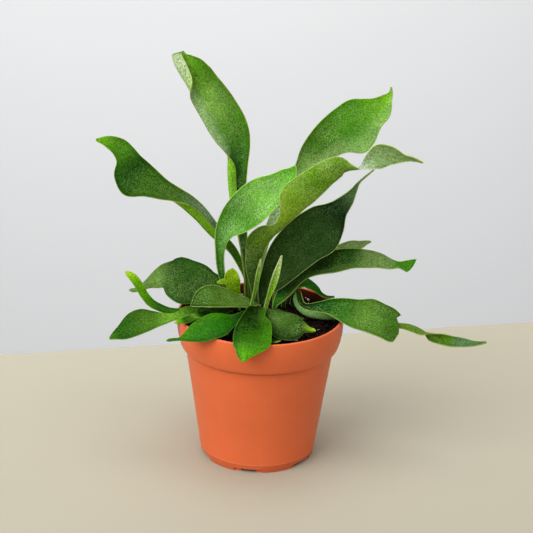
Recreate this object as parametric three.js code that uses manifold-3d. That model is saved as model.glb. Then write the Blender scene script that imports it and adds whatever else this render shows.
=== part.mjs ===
// A young staghorn fern that grows in a small moulded plastic pot.
//
// Millimetres, +Z up. The origin is the middle of the pot's foot, on the surface that it stands on,
// and the plant is seen from -Y.
import * as THREE from 'three';
import { mergeVertices } from 'three/addons/utils/BufferGeometryUtils.js';
import Module from 'manifold-3d';

const wasm = await Module();
wasm.setup();

// ---------------------------------------------------------------- driving dimensions

const fit = 0.3;                  // clearance between pieces that lie against each other

// Pot: a grower's pot with a 108 mm rim.
const potHeight = 97.6;
const rimRadius = 54;
const footRadius = 37.6;
const wall = 1.3;
const bodyTaper = 0.144;          // growth of the body's radius for each millimetre of height
const shoulderHeight = 76;        // underside of the collar
const collarHeight = 76.6;        // lower corner of the collar
const collarRadius = 51.2;        // the collar's radius at that corner
const ledgeHeight = 77.2;         // the step inside, over the collar's underside
const floorHeight = 3.2;          // underside of the raised floor
const floorThickness = 1.6;
const potSides = 48;

// Foot: a ring with six wide notches, a recessed ring behind it with narrower ones, and a pad.
const footRing = 1.7;
const innerRingGap = 1.1;
const innerRing = 1.2;
const innerRingHeight = 0.4;      // how far the recessed ring stays above the surface
const notchCount = 6;
const notchTurn = -8;             // degrees from the front to the first notch
const notchWidth = 18.6;
const notchHeight = 2.6;
const drainWidth = 9.2;
const drainHeight = 2.2;
const drainReach = 8;             // how far a drain slot runs in from the foot ring
const padRadius = 9;

// Potting mix: it fills the pot and mounds up round the plant.
const soilEdge = 91.6;
const moundRise = 5.2;
const moundSpread = 22;
const moundCentre = [-1, 9];
const clodHeight = 0.5;
const soilSides = 32;

// Stalks: where they leave the potting mix they are about round.
const stalkFoot = 86;
const stalkStraight = 94;         // a stalk is upright up to here
const stalkTop = 98;
const stalkRadius = 1.6;
const stalkCurl = 30;
const holeSides = 8;
const holeRadius = (stalkRadius + fit + 0.2) / Math.cos(Math.PI / holeSides);

// Blades.
const edgeThickness = 0.9;
const ribThickness = 1.4;
const stalkThickening = 1.2;      // added to the rib's thickness at the stalk's foot
const stalkLength = 40;           // over which that thickening runs out
const leastThickness = 0.7;
const leastHalfWidth = 0.3;
const foldStart = 0.42;           // a folded margin turns over between these places across its half
const foldEnd = 0.72;
const bendSteps = 12;             // parts that a cross-section is bent in

// ---------------------------------------------------------------- the fronds

// A frond's face is the way its upper side looks, before its own roll. Each row of a blade is a
// point of its rib (x, y, z), its half width to the left and to the right of the rib, seen with the
// tip up, its roll about the rib and its curl up at the edges, both in degrees. An eighth number is
// the angle that the left margin is folded over by, or the right one where it is negative.
//
// Further settings of a blade:
//   curls   how much of the curl the left and the right half take
//   waves   height, count along the blade and phase in radians of its waved edge
//   round   length over which a blunt tip is rounded off
//   tip     how far the end reaches past its last row, from the left edge to the right
//   grid    number of steps along and across

const large = [16, 6];
const medium = [12, 4];
const small = [8, 4];

const fronds = [
  {
    name: 'frond_tall', colour: 0x4f8a2f, root: [-10, 20], roll: 20, face: [0, -1, 0.2],
    blades: [{
      grid: [26, 10], waves: [0.5, 2, 0.5], tip: [1, 2.5, 1, -2, -3],
      rows: [
        [-11, 21, 124, 2.4, 2.2, 10, 45, 0], [-13.5, 23, 141, 4.2, 3.6, 12, 45, 60],
        [-15.9, 25.5, 157, 8.6, 4.8, 12, 45, 140], [-16.5, 26, 167, 10.8, 5.2, 12, 45, 155],
        [-17, 26.5, 179, 13, 5.9, 12, 40, 158], [-17.8, 27, 189.4, 11.8, 7.4, 10, 32, 125],
        [-19.6, 28, 198, 8.2, 10.3, 8, 25, 35], [-22.4, 29, 206.3, 10.3, 12.8, 6, 20, 0],
        [-26.4, 30.5, 215, 11.8, 13.5, 4, 18, 0], [-31.4, 32, 223.7, 11.8, 13.1, 2, 18, 0],
        [-36.4, 33.5, 231.7, 12.3, 12.3, 0, 18, 25], [-41.3, 34.5, 239.1, 14, 11.2, 0, 20, 75],
        [-45.6, 35, 245.3, 15, 10.8, 0, 22, 145], [-48.8, 35.5, 251.6, 16.5, 8, 0, 25, 162],
        [-51.4, 36, 256.5, 16.5, 2.5, 0, 25, 165], [-52.7, 36, 259, 15.5, 0.5, 0, 25, 165],
      ],
    }],
  },
  {
    name: 'frond_left_tail', colour: 0x46752f, root: [-8, 26], roll: 0, face: [0, -0.85, 0.5],
    blades: [{
      grid: [24, 8], waves: [0.5, 2, 1],
      rows: [
        [-13, 27, 118, 2.2, 1.8, 0, 35, 0], [-20, 28, 130, 4, 3, 0, 40, 60],
        [-27.7, 28, 140.6, 10, 2.2, 0, 40, 140], [-35.6, 29, 149.9, 12.4, 3.4, 0, 40, 155],
        [-42.3, 30, 156.6, 13, 4, 0, 38, 150], [-49.9, 31, 161.5, 10.6, 5, 0, 35, 105],
        [-58.1, 33, 164.3, 6.2, 6.1, 0, 28, 40], [-65.4, 34.5, 167.7, 7.6, 6.6, 0, 22, 0],
        [-73.4, 36, 171.8, 11, 8.4, 0, 18, 0], [-80.7, 37, 176.8, 17.5, 9.4, 0, 14, 0],
        [-86.7, 38, 182.4, 14.5, 9, 0, 12, 0], [-91.3, 39, 188.8, 7, 7.9, 0, 10, 0],
        [-95.9, 40, 193.4, 4.8, 7.4, 0, 8, 0], [-101.8, 40.5, 197.3, 4, 4.5, 0, 5, 0],
        [-110.3, 41, 198.6, 0.8, 0.6, 0, 0, 0],
      ],
    }],
  },
  {
    name: 'frond_front_bright', colour: 0x6fae4a, root: [-15, 15], roll: 0, face: [0, -0.95, 0.3],
    blades: [{
      grid: large, curls: [0.8, 1.3], waves: [0.6, 2, 0],
      rows: [
        [-25, 8, 115, 1.6, 2.5, 0, 40], [-27, 3, 127, 2, 3.5, 0, 50],
        [-27, -2, 141, 3, 5, 0, 60], [-26, -5, 150, 4.5, 7, 0, 60],
        [-23, -8, 157, 7, 8, 0, 50], [-17, -11, 165, 10.5, 11.5, 0, 38],
        [-10, -14, 173, 12, 13, 0, 28], [-3, -16, 180, 12, 12.5, 0, 25],
        [4, -18, 186, 10.5, 11, 0, 25], [11, -20, 193, 6.5, 7, 0, 28],
        [17, -21, 199, 4, 4, 0, 30], [19, -21, 203, 0.8, 0.5, 0, 30],
      ],
    }],
  },
  {
    name: 'frond_olive', colour: 0x6b7d2c, root: [-5, 13], roll: 0, face: [0.1, 1, 0.2],
    blades: [{
      grid: [28, 6], waves: [0.4, 3, 0],
      rows: [
        [-5, 7, 111, 1.6, 2, 0, 20], [-6, 1, 128, 5, 4.6, 0, 30], [-5.7, -2, 136.8, 6, 5.3, 0, 28],
        [-3.1, -7, 148.2, 7, 6.9, 0, 24], [1.5, -11, 155.7, 6.4, 5.4, 0, 20],
        [7.7, -15, 160.6, 4.3, 2.7, 0, 20], [12.4, -21, 168, 4.9, 2.8, 0, 20],
        [15.2, -26, 176.2, 8.1, 5.2, 0, 22], [18, -29.5, 183.9, 10.9, 8.7, 0, 24],
        [22.6, -33, 191.5, 12, 8.5, 0, 25], [28.3, -36, 198.2, 11.8, 7, 0, 25],
        [34.6, -38.5, 204.2, 10.9, 6.3, 0, 26], [40.4, -40.5, 208, 9.6, 6.4, 0, 28],
        [45.6, -42, 209.8, 7.9, 5.9, 5, 30], [50.9, -43, 209.5, 4.5, 3, 20, 32],
        [55, -44, 209, 2.6, 2.2, 50, 30], [57.9, -44, 209.9, 2, 2, 100, 28],
        [60.8, -44, 212.4, 3.4, 4.6, 145, 24], [64.2, -43.5, 215.1, 5.4, 7, 165, 22],
        [68.3, -43, 217, 8, 7.6, 172, 24], [73, -43, 217.4, 7.2, 6.8, 176, 30],
        [77.7, -43, 216.7, 5.4, 4.6, 178, 40], [82, -42.5, 216, 3.2, 2.8, 180, 50],
        [86.2, -42, 215.5, 2.2, 1.7, 180, 45], [90.4, -41.5, 214.4, 1.3, 1.1, 180, 30],
        [94.1, -41, 212.9, 0.6, 0.5, 180, 20],
      ],
    }],
  },
  {
    name: 'frond_upper_right', colour: 0x4f9430, root: [-3, 21], roll: 0, face: [-0.25, -1, 0.3],
    blades: [{
      grid: [20, 6], curls: [1.1, 0.9], waves: [1, 2, 0.8],
      rows: [
        [-1, 27, 120, 2, 2, 0, 45], [2.2, 31, 136.2, 2.8, 2.8, 0, 45],
        [9, 34, 154.9, 3.4, 3.6, 0, 45], [17, 37, 171.4, 4.2, 4.5, 0, 40],
        [23.2, 40, 182.3, 4.6, 6.8, 0, 32], [29.5, 43, 191.1, 8.2, 9.3, 0, 28],
        [37.1, 46, 199.3, 10.2, 13.2, 0, 25], [44.8, 50, 205.9, 11.2, 18.2, 0, 22],
        [52.6, 53, 210.7, 12.2, 23.4, 0, 20], [60.4, 56, 214.9, 12.5, 20.7, 0, 20],
        [67.7, 60, 218.1, 9.3, 14.3, 0, 20], [73.7, 63, 221.6, 5.5, 11.8, 0, 22],
        [78.3, 66, 225.1, 3.2, 6.6, 0, 28], [81.6, 68, 228.7, 1, 2.2, 0, 30],
        [82.3, 69, 232.6, 0.5, 0.5, 0, 30],
      ],
    }],
  },
  {
    name: 'frond_dark', colour: 0x2f5526, root: [0, 16], roll: 0, face: [0, -0.85, 0.5],
    blades: [{
      grid: large, curls: [1.5, 0.6], waves: [0.8, 2, 2],
      rows: [
        [1.9, 16, 105.2, 4.8, 4, 0, 45], [6.9, 16, 114.5, 9, 9.6, 0, 45],
        [12.5, 17, 123.4, 13, 13, 0, 35], [19.4, 18, 133, 15.2, 15.4, 0, 25],
        [27, 19, 141.9, 15, 17.2, 0, 20], [35.2, 20, 149.4, 14, 18.5, 0, 18],
        [42.1, 22, 155.7, 11.3, 14, 0, 18], [47.7, 23, 162.1, 5.8, 8.4, 0, 18],
        [53.3, 24, 168.4, 3.4, 5.9, 0, 20], [57.6, 25.5, 174.1, 1.6, 3.2, 0, 25],
        [61, 26, 179, 0.9, 1.2, 0, 22], [65.7, 28, 182.9, 0.7, 0.7, 0, 22],
        [70.8, 30, 186.8, 0.5, 0.5, 0, 20],
      ],
    }],
  },
  {
    name: 'frond_right_level', colour: 0x4a7a30, root: [9, 9], roll: 0, face: [0, -0.7, 0.7],
    blades: [{
      grid: large, waves: [0.5, 3, 0], tip: [5, 2.5, -1],
      rows: [
        [12, 13, 102, 3.6, 4, 0, 45], [18, 18, 108.4, 4.4, 5.5, 0, 40],
        [27, 21, 116.8, 4.8, 5.5, 0, 35], [38, 21, 123, 6, 7, 0, 30],
        [49, 20, 127, 7.6, 9, 0, 25], [59, 21, 129, 6.5, 8.8, 0, 22],
        [68, 21, 129, 6, 7.6, 0, 20], [77, 20, 128, 5.2, 5.5, 0, 20],
        [85, 19, 126, 3.5, 4, 0, 25], [90, 18, 126, 2.6, 2.6, 0, 15],
        [93, 17, 126, 3.4, 3.2, 15, 5], [96, 16, 126, 4.4, 4.6, 30, 0],
      ],
    }],
  },
  {
    name: 'frond_right_small', colour: 0x4c7040, root: [9, 23], roll: 0, face: [0, -0.8, 0.6],
    blades: [{
      grid: medium,
      rows: [
        [16, 28, 108, 1.6, 2, 0, 30], [24.1, 29.5, 112.9, 2.1, 3, 0, 28],
        [34, 33, 119.5, 2.3, 3.6, 0, 25], [43.9, 37, 124.7, 2.8, 3.8, 0, 20],
        [53.1, 40, 128.9, 3, 4.1, 0, 20], [59.9, 43, 130.3, 3, 4.3, 0, 20],
        [66, 45, 130.6, 2, 3.6, 0, 20], [70.1, 46, 131.3, 1.4, 1.5, 0, 20],
        [72.8, 47, 131.5, 0.6, 0.6, 0, 10],
      ],
    }],
  },
  {
    name: 'frond_right_low', colour: 0x447a33, root: [21, 22], roll: 0, face: [0, -0.6, 0.8],
    blades: [{
      grid: [22, 8], waves: [0.5, 3, 1], tip: [1, -1.5, 1.2, 2, -0.5],
      rows: [
        [23.7, 20, 103.6, 2.4, 2.6, 0, 60, -40], [24.1, 14, 101, 3.8, 5, 0, 60, -120],
        [26.4, 8, 98.6, 4, 6.4, 0, 60, -128], [30.9, 3, 97.6, 6, 8, 0, 55, -125],
        [37.3, 0, 98, 7.6, 10, 0, 55, -108], [45, -3, 99.6, 9.2, 12.4, 0, 55, -70],
        [53.2, -6, 101.2, 9.8, 12.8, 0, 48, -20], [62, -9, 101.4, 10.4, 12.6, 0, 32, 0],
        [70.3, -11, 100.7, 12.8, 12.6, 0, 18, 0], [78, -12, 99.3, 11.6, 14, 0, 12, 0],
        [84.5, -12, 97.4, 10.2, 15, 0, 8, 0], [88, -12, 96.2, 8, 13.6, 0, 8, 0],
      ],
    }, {
      grid: [16, 4],
      rows: [
        [84, -10.5, 95, 2, 2.2, 170, 20], [91, -12, 95.4, 2, 3, 170, 25],
        [98, -14, 95, 3, 3.6, 165, 35], [104, -17, 94, 3.6, 4.4, 140, 50],
        [109, -19, 93, 4, 4.6, 85, 55], [114, -20, 91, 4, 3.6, 45, 45],
        [121, -22, 90, 3.8, 3.6, 20, 30], [129, -23, 90, 3, 3.4, 10, 25],
        [137, -24, 90, 1.6, 2, 5, 20], [144, -24, 91, 0.7, 0.7, 0, 20],
      ],
    }],
  },
  {
    name: 'frond_left_round', colour: 0x40682e, root: [-20, 17], roll: 0, face: [0, -0.75, 0.65],
    blades: [{
      grid: [20, 6], round: 2, waves: [0.6, 3, 0],
      rows: [
        [-24, 14.5, 104.5, 4, 3, 0, 25], [-27, 13, 109.1, 10.5, 6, 0, 20],
        [-33.5, 11, 111.7, 14.4, 9, 0, 12], [-40.6, 9, 114.4, 15.6, 12.6, 0, 8],
        [-47, 7, 115.3, 16, 15.2, 0, 8], [-52.7, 5, 116.3, 16.6, 15.4, 0, 10],
        [-57.9, 4, 117.2, 13.6, 13.4, 0, 12], [-63, 4, 117.8, 7.8, 9.8, 0, 15],
        [-68.2, 4, 116.6, 6.8, 5.8, 0, 15], [-73.5, 4.5, 113.1, 3.3, 3.2, 0, 15],
        [-78.1, 5, 109.6, 1.3, 2.3, 0, 10], [-82, 5, 108.4, 1.4, 1.4, 0, 10],
        [-85.9, 5, 108.3, 1.1, 1.3, 0, 10],
      ],
    }],
  },
  {
    name: 'frond_left_forked', colour: 0x5b9a33, root: [-17, 4], roll: 0, face: [0, -0.5, 0.85],
    blades: [{
      grid: [16, 6], waves: [0.4, 2, 0],
      rows: [
        [-23, -2, 99, 4, 3.4, 0, 35], [-32, -6, 99, 5.6, 5, 0, 30], [-40.2, -9, 99, 6, 5.7, 0, 30],
        [-47.2, -13, 99.3, 4.2, 6, 0, 30], [-54.1, -17, 99.4, 3, 3, 0, 28],
        [-61, -18, 98.2, 5.5, 4.3, 0, 25], [-68.5, -18.5, 97.2, 8.4, 7.2, 0, 20],
        [-75.4, -18.5, 95.6, 9.8, 10.2, 0, 15], [-82.4, -18.5, 93, 9.6, 9.2, 0, 15],
        [-88.8, -18.5, 89.3, 7, 4.4, 0, 12], [-93.9, -19, 85.9, 2.9, 1.8, 0, 10],
        [-96, -19, 83.9, 0.7, 0.7, 0, 10],
      ],
    }, {
      grid: medium, round: 2,
      rows: [
        [-40, -9, 99.5, 3, 3, 0, 25], [-49, -10, 99.6, 3.4, 3.2, 0, 30],
        [-59.4, -10, 100.7, 3.4, 2.6, 0, 35], [-64.5, -10, 103.2, 4.6, 2.2, 0, 38],
        [-69.6, -10, 106.5, 5.2, 2, 0, 40], [-73.8, -9.5, 111.3, 4.6, 1.9, 0, 40],
        [-77.7, -9, 117.2, 3.8, 2.5, 0, 38], [-82, -8.5, 122.4, 3.2, 2.8, 0, 30],
        [-86.5, -8, 126.2, 1.7, 1, 0, 20],
      ],
    }, {
      grid: small, round: 1,
      rows: [
        [-33, -8, 99, 2, 2, 0, 20], [-41, -18, 101, 3, 2.4, 0, 10],
        [-47, -25, 101, 3, 2.4, 0, 10], [-54, -28, 100, 0.8, 0.8, 0, 10],
      ],
    }],
  },
  {
    name: 'frond_centre_low', colour: 0x58823f, root: [-1, 8], roll: 0, face: [0, -0.45, 0.9],
    blades: [{
      grid: medium, waves: [0.4, 2, 1],
      rows: [
        [-5.7, 2, 102.1, 2.4, 3, 0, 20], [-11.5, -1, 104.2, 5.2, 5.4, 0, 18],
        [-17.9, -5, 107, 7.2, 8.2, 0, 12], [-24.9, -9, 109.8, 8.4, 10.8, 0, 10],
        [-31.8, -12, 111, 8.2, 10.5, 0, 10], [-37.7, -14, 110.4, 6.8, 7.6, 0, 10],
        [-41.7, -16, 109, 4.2, 3, 0, 10], [-44.2, -17, 107.3, 0.7, 0.7, 0, 10],
      ],
    }],
  },
  {
    name: 'frond_front_left', colour: 0x3f8f25, root: [-10, -5], roll: 0, face: [0, -0.6, 0.8],
    blades: [{
      grid: [14, 4], round: 1.5,
      rows: [
        [-12.5, -14, 101, 2, 2.2, 0, 22], [-15.3, -23, 102.4, 2.6, 3.6, 0, 20],
        [-20.7, -33, 103.7, 6.2, 7.2, 0, 16], [-26.7, -38, 103.1, 9, 9.4, 0, 10],
        [-32.7, -42, 101.9, 8.2, 9.2, 0, 10], [-38.8, -44, 100.1, 6.9, 7.6, 0, 10],
        [-44.6, -46, 98.4, 3.6, 4.2, 0, 10], [-49.1, -47, 97.2, 1.1, 1.4, 0, 10],
        [-53.4, -48, 97.2, 1, 1.1, 0, 10], [-57.4, -48, 96.4, 1, 1.1, 0, 10],
      ],
    }],
  },
  {
    name: 'frond_front_droop', colour: 0x3c8a2b, root: [-1, 0], roll: 0, face: [0, -0.6, 0.8],
    blades: [{
      grid: medium,
      rows: [
        [-2, -11, 104, 5.5, 5, 0, 25], [-5, -28, 104.8, 8.7, 6.7, 0, 18],
        [-4.9, -38, 103.6, 12, 9.8, 0, 8], [-4.7, -48, 101.4, 12, 11.6, 0, 0],
        [-5.1, -56, 98.9, 10.8, 11.2, 0, -6], [-6.5, -60, 95.7, 4.8, 10, 0, -10],
        [-8.2, -62.5, 93.1, 2, 6.2, 0, -10], [-9.3, -64, 90.7, 0.7, 2.4, 0, -5],
      ],
    }],
  },
  {
    name: 'frond_front_right', colour: 0x5d8a49, root: [7, -3], roll: 0, face: [0, -0.5, 0.85],
    blades: [{
      grid: medium, round: 2,
      rows: [
        [6.1, -10, 102.9, 3, 4.5, 0, 0], [10, -18, 103.2, 6.3, 7.8, 0, -10],
        [14.4, -26, 102.9, 10.4, 10, 0, -14], [18.8, -33, 102.2, 11, 11.8, 0, -18],
        [23.2, -36, 101.7, 10.4, 8.4, 0, -16], [26.9, -36, 101.7, 6.6, 3.4, 0, -5],
        [31, -35.5, 100.9, 2.2, 1.9, 0, 10], [35.1, -36, 100.6, 1.8, 1.2, 0, 10],
      ],
    }],
  },
  {
    name: 'frond_shade', colour: 0x24521f, root: [5, -10], roll: 0, face: [0, -0.6, 0.8],
    blades: [{
      grid: small, round: 2,
      rows: [
        [7.6, -19, 96.4, 2.4, 2.8, 0, 15], [8.8, -32, 94.6, 2.6, 3, 0, 12],
        [10.2, -42, 94.9, 3, 2.8, 0, 10], [11.4, -49.5, 98.6, 2, 2.2, 0, 5],
      ],
    }],
  },
  {
    name: 'frond_young_yellow', colour: 0x9bb61d, root: [-13, 9], roll: 0, face: [0, -0.95, 0.3],
    blades: [{
      grid: small, round: 1.5,
      rows: [
        [-17, 5, 110, 3.8, 3.4, 0, 20], [-19, 3, 118, 5, 5.4, 0, 20],
        [-19, 2, 123, 4.5, 4, 0, 20], [-19, 1, 127, 1.4, 1.2, 0, 10],
      ],
    }, {
      grid: small,
      rows: [
        [-19, 3.5, 117, 2.4, 2.4, 0, 10], [-24, 3, 117, 2, 2, 0, 10],
        [-28.5, 3, 116, 0.6, 0.7, 0, 10],
      ],
    }],
  },
  {
    name: 'spear_front', colour: 0x8fbf52, root: [3, 3], roll: 0, face: [0.35, -0.95, 0.3],
    blades: [{
      grid: small, curls: [1.2, 0.8],
      rows: [
        [5, 1, 108, 2, 1.6, 0, 60], [7, 0, 116, 3.6, 2.6, 0, 70],
        [9, -1, 124, 3.6, 2.6, 0, 70], [11, -1, 131, 2.2, 1.6, 0, 60],
        [12.5, -2, 137.5, 0.6, 0.6, 0, 40],
      ],
    }],
  },
  {
    name: 'spear_small', colour: 0x86ad5c, root: [-6.4, -3], roll: 0, face: [0.35, -0.95, 0.3],
    blades: [{
      grid: small,
      rows: [
        [-5.8, -3.4, 105, 1.1, 1.1, 0, 40], [-4, -4.4, 114, 1.3, 1.3, 0, 50],
        [-2.7, -6, 123.4, 1.8, 1.6, 0, 60], [-1.9, -6.5, 129.1, 1.6, 1.4, 0, 60],
        [-1.1, -7, 133.7, 1, 0.9, 0, 50], [-0.6, -7, 136.8, 0.5, 0.5, 0, 40],
      ],
    }],
  },
  {
    name: 'frond_back_low', colour: 0x356a26, root: [15, 17], roll: 0, face: [0, -0.5, 0.85],
    blades: [{
      grid: medium,
      rows: [
        [20, 20, 107, 2.6, 3.2, 0, 25], [24.8, 22, 110.2, 4.2, 5, 0, 20],
        [29.4, 24, 109.7, 4.2, 5.4, 0, 10], [33.5, 25, 107.7, 2.8, 4.2, 0, 5],
        [37, 25.5, 104.6, 2.2, 2.6, 0, 0], [39.7, 26, 101.3, 1.5, 1.9, 0, 0],
        [43.3, 26.4, 99.1, 1.2, 1.4, 0, 0], [49, 26.6, 99, 0.7, 0.8, 0, 0],
      ],
    }],
  },
];

// ---------------------------------------------------------------- solids

/** A geometry's corners and triangles, with shared corners merged and empty triangles left out. */
function solidFrom(geometry) {
  const bare = geometry.clone();
  bare.deleteAttribute('normal');
  bare.deleteAttribute('uv');
  const merged = mergeVertices(bare, 1e-4);
  const index = merged.index.array;
  const kept = [];
  for (let i = 0; i < index.length; i += 3) {
    const [a, b, c] = [index[i], index[i + 1], index[i + 2]];
    if (a !== b && b !== c && a !== c) {
      kept.push(a, b, c);
    }
  }
  return new wasm.Manifold(new wasm.Mesh({
    numProp: 3,
    vertProperties: new Float32Array(merged.attributes.position.array),
    triVerts: new Uint32Array(kept),
  }));
}

/** A solid as a geometry that a mesh can take. */
function geometryFrom(solid) {
  const mesh = solid.getMesh();
  const geometry = new THREE.BufferGeometry();
  geometry.setAttribute('position', new THREE.BufferAttribute(mesh.vertProperties, 3));
  geometry.setIndex(new THREE.BufferAttribute(mesh.triVerts, 1));
  geometry.computeVertexNormals();
  return geometry;
}

/** A solid of revolution about +Z from [radius, height] pairs that start and end on the axis. */
function turned(profile, sides) {
  const points = profile.map(([radius, height]) => new THREE.Vector2(radius, height));
  const geometry = new THREE.LatheGeometry(points, sides);
  geometry.rotateX(Math.PI / 2);
  return geometry;
}

/** A box that stands on the surface, out from the axis, turned about it from the front. */
function radialBox(inner, outer, width, low, high, degrees) {
  const geometry = new THREE.BoxGeometry(width, outer - inner, high - low);
  geometry.translate(0, -(inner + outer) / 2, (low + high) / 2);
  geometry.rotateZ(THREE.MathUtils.degToRad(degrees));
  return solidFrom(geometry);
}

// ---------------------------------------------------------------- pot and potting mix

/** The pot's outside, as [radius, height] pairs from the foot to the lip. */
const potOutside = [
  [footRadius, 0],
  [footRadius + bodyTaper * shoulderHeight, shoulderHeight],
  [collarRadius - 0.7, shoulderHeight + 0.1],
  [collarRadius, collarHeight],
  [51.8, 77.9],
  [52.6, 80.8],
  [53.4, 84.5],
  [rimRadius, 90],
  [rimRadius, potHeight - 1],
  [rimRadius - 0.4, potHeight - 0.2],
  [rimRadius - 1, potHeight],
];

/** The pot's inside, from the lip down to the floor. */
const potInside = [
  [rimRadius - wall - 0.4, potHeight - 0.6],
  [rimRadius - wall, 90],
  [53.4 - wall, 84.5],
  [52.6 - wall, 80.8],
  [51.7 - wall, 78.6],
  [collarRadius - wall - 0.3, 77.8],
  [footRadius + bodyTaper * shoulderHeight - wall, ledgeHeight],
  [footRadius + bodyTaper * (floorHeight + floorThickness) - wall, floorHeight + floorThickness],
];

function makePot() {
  const ringInside = footRadius - footRing;
  const innerOutside = ringInside - innerRingGap;
  const innerInside = innerOutside - innerRing;
  const profile = [
    [0, 0],
    [padRadius, 0],
    [padRadius, floorHeight],
    [innerInside, floorHeight],
    [innerInside, innerRingHeight],
    [innerOutside, innerRingHeight],
    [innerOutside, floorHeight],
    [ringInside, floorHeight],
    [ringInside, 0],
    ...potOutside,
    ...potInside,
    [0, floorHeight + floorThickness],
  ];
  let pot = solidFrom(turned(profile, potSides));
  for (let i = 0; i < notchCount; i += 1) {
    const turn = notchTurn + (360 / notchCount) * i;
    const notch = radialBox(ringInside - 0.3, footRadius + 2, notchWidth, -1, notchHeight, turn);
    const drain = radialBox(ringInside - drainReach, ringInside - 0.2, drainWidth, -1,
      floorHeight + floorThickness + 1, turn);
    pot = pot.subtract(notch).subtract(drain);
  }
  return geometryFrom(pot);
}

/** Height of the potting mix at a place: a mound round the plant, with low clods. */
function soilHeight(x, y) {
  const away = Math.hypot(x - moundCentre[0], y - moundCentre[1]);
  const mound = moundRise * Math.exp(-((away / moundSpread) ** 2));
  const clods = Math.sin(x * 0.7 + 1) * Math.cos(y * 0.8) + 0.6 * Math.sin(x * 0.31 - y * 0.47);
  return soilEdge + mound + clodHeight * clods;
}

function makePottingMix() {
  const bottom = floorHeight + floorThickness + fit;
  const sides = [...potInside].reverse()
    .filter(([, height]) => height < soilEdge)
    .map(([radius, height]) => [radius - fit, height + fit]);
  const topRadius = rimRadius - wall - fit;
  const rings = [1, 0.88, 0.72, 0.55, 0.38, 0.2].map((share) => [topRadius * share, soilEdge]);
  const profile = [[0, bottom], ...sides, ...rings, [0, soilEdge]];
  const geometry = turned(profile, soilSides);
  const points = geometry.attributes.position;
  for (let i = 0; i < points.count; i += 1) {
    if (Math.abs(points.getZ(i) - soilEdge) < 1e-3) {
      points.setZ(i, soilHeight(points.getX(i), points.getY(i)));
    }
  }
  let soil = solidFrom(geometry);
  for (const { root } of fronds) {
    const hole = new THREE.CylinderGeometry(holeRadius, holeRadius, 30, holeSides);
    hole.rotateX(Math.PI / 2);
    hole.translate(root[0], root[1], stalkFoot - 0.5 + 15);
    soil = soil.subtract(solidFrom(hole));
  }
  return geometryFrom(soil);
}

// ---------------------------------------------------------------- blades

/** A smooth line through rows of numbers, as far apart as their first three say. */
class SmoothRows {
  constructor(given) {
    const rows = given.map((row) => [...row, 0].slice(0, 8));
    this.rows = rows;
    this.at = [0];
    for (let i = 1; i < rows.length; i += 1) {
      const [a, b] = [rows[i - 1], rows[i]];
      this.at.push(this.at[i - 1] + Math.hypot(b[0] - a[0], b[1] - a[1], b[2] - a[2]));
    }
    this.length = this.at[rows.length - 1];
    this.slopes = this.makeSlopes();
  }

  makeSlopes() {
    const { rows, at } = this;
    const last = rows.length - 1;
    const gap = (i) => at[i + 1] - at[i];
    const rise = (i) => rows[i].map((value, n) => (rows[i + 1][n] - value) / gap(i));
    const slopes = [];
    for (let i = 1; i < last; i += 1) {
      const [before, after] = [rise(i - 1), rise(i)];
      slopes[i] = before.map((value, n) => (value * gap(i) + after[n] * gap(i - 1))
        / (gap(i - 1) + gap(i)));
    }
    slopes[0] = rise(0).map((value, n) => 1.5 * value - 0.5 * slopes[1][n]);
    slopes[last] = rise(last - 1).map((value, n) => 1.5 * value - 0.5 * slopes[last - 1][n]);
    return slopes;
  }

  /** The row and its slope at a distance along the line, which runs on straight past its ends. */
  sample(distance) {
    const { rows, at, slopes } = this;
    const last = rows.length - 1;
    if (distance >= this.length) {
      const past = distance - this.length;
      return [rows[last].map((value, n) => value + slopes[last][n] * past), slopes[last]];
    }
    let i = 0;
    while (i < last - 1 && at[i + 1] <= distance) {
      i += 1;
    }
    const gap = at[i + 1] - at[i];
    const t = (distance - at[i]) / gap;
    const [a, b, c, d] = [2 * t ** 3 - 3 * t ** 2 + 1, t ** 3 - 2 * t ** 2 + t,
      3 * t ** 2 - 2 * t ** 3, t ** 3 - t ** 2];
    const [da, db, dd] = [(6 * t ** 2 - 6 * t) / gap, 3 * t ** 2 - 4 * t + 1, 3 * t ** 2 - 2 * t];
    const value = rows[i].map((p, n) => a * p + b * gap * slopes[i][n]
      + c * rows[i + 1][n] + d * gap * slopes[i + 1][n]);
    const slope = rows[i].map((p, n) => da * (p - rows[i + 1][n])
      + db * slopes[i][n] + dd * slopes[i + 1][n]);
    return [value, slope];
  }
}

/** A value of a list that is spread evenly from -1 to 1, at a place between. */
function spread(list, across) {
  const place = ((across + 1) / 2) * (list.length - 1);
  const i = Math.min(Math.floor(place), list.length - 2);
  return list[i] + (list[i + 1] - list[i]) * (place - i);
}

/** The half width at a distance along a blade, drawn in where a blunt tip is rounded off. */
function halfWidth(width, distance, length, round) {
  const past = distance - (length - round);
  const drawnIn = round > 0 && past > 0 ? Math.sqrt(Math.max(0.02, 1 - (past / round) ** 2)) : 1;
  return Math.max(leastHalfWidth, Math.max(leastHalfWidth, width) * drawnIn);
}

/** How far a half cross-section turns, in radians, at a place from its rib (0) to its margin (1). */
function turnAt(place, curl, fold) {
  const folded = THREE.MathUtils.smoothstep(place, foldStart, foldEnd);
  return THREE.MathUtils.degToRad(curl * place + fold * folded);
}

/** How far out and up a bent half cross-section gets, for a half width of 1. */
function bentHalf(out, curl, fold) {
  let [sideways, lift] = [0, 0];
  for (let k = 0; k < bendSteps; k += 1) {
    const turn = turnAt((out * (k + 0.5)) / bendSteps, curl, fold);
    sideways += (Math.cos(turn) * out) / bendSteps;
    lift += (Math.sin(turn) * out) / bendSteps;
  }
  return [sideways, lift];
}

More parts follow.
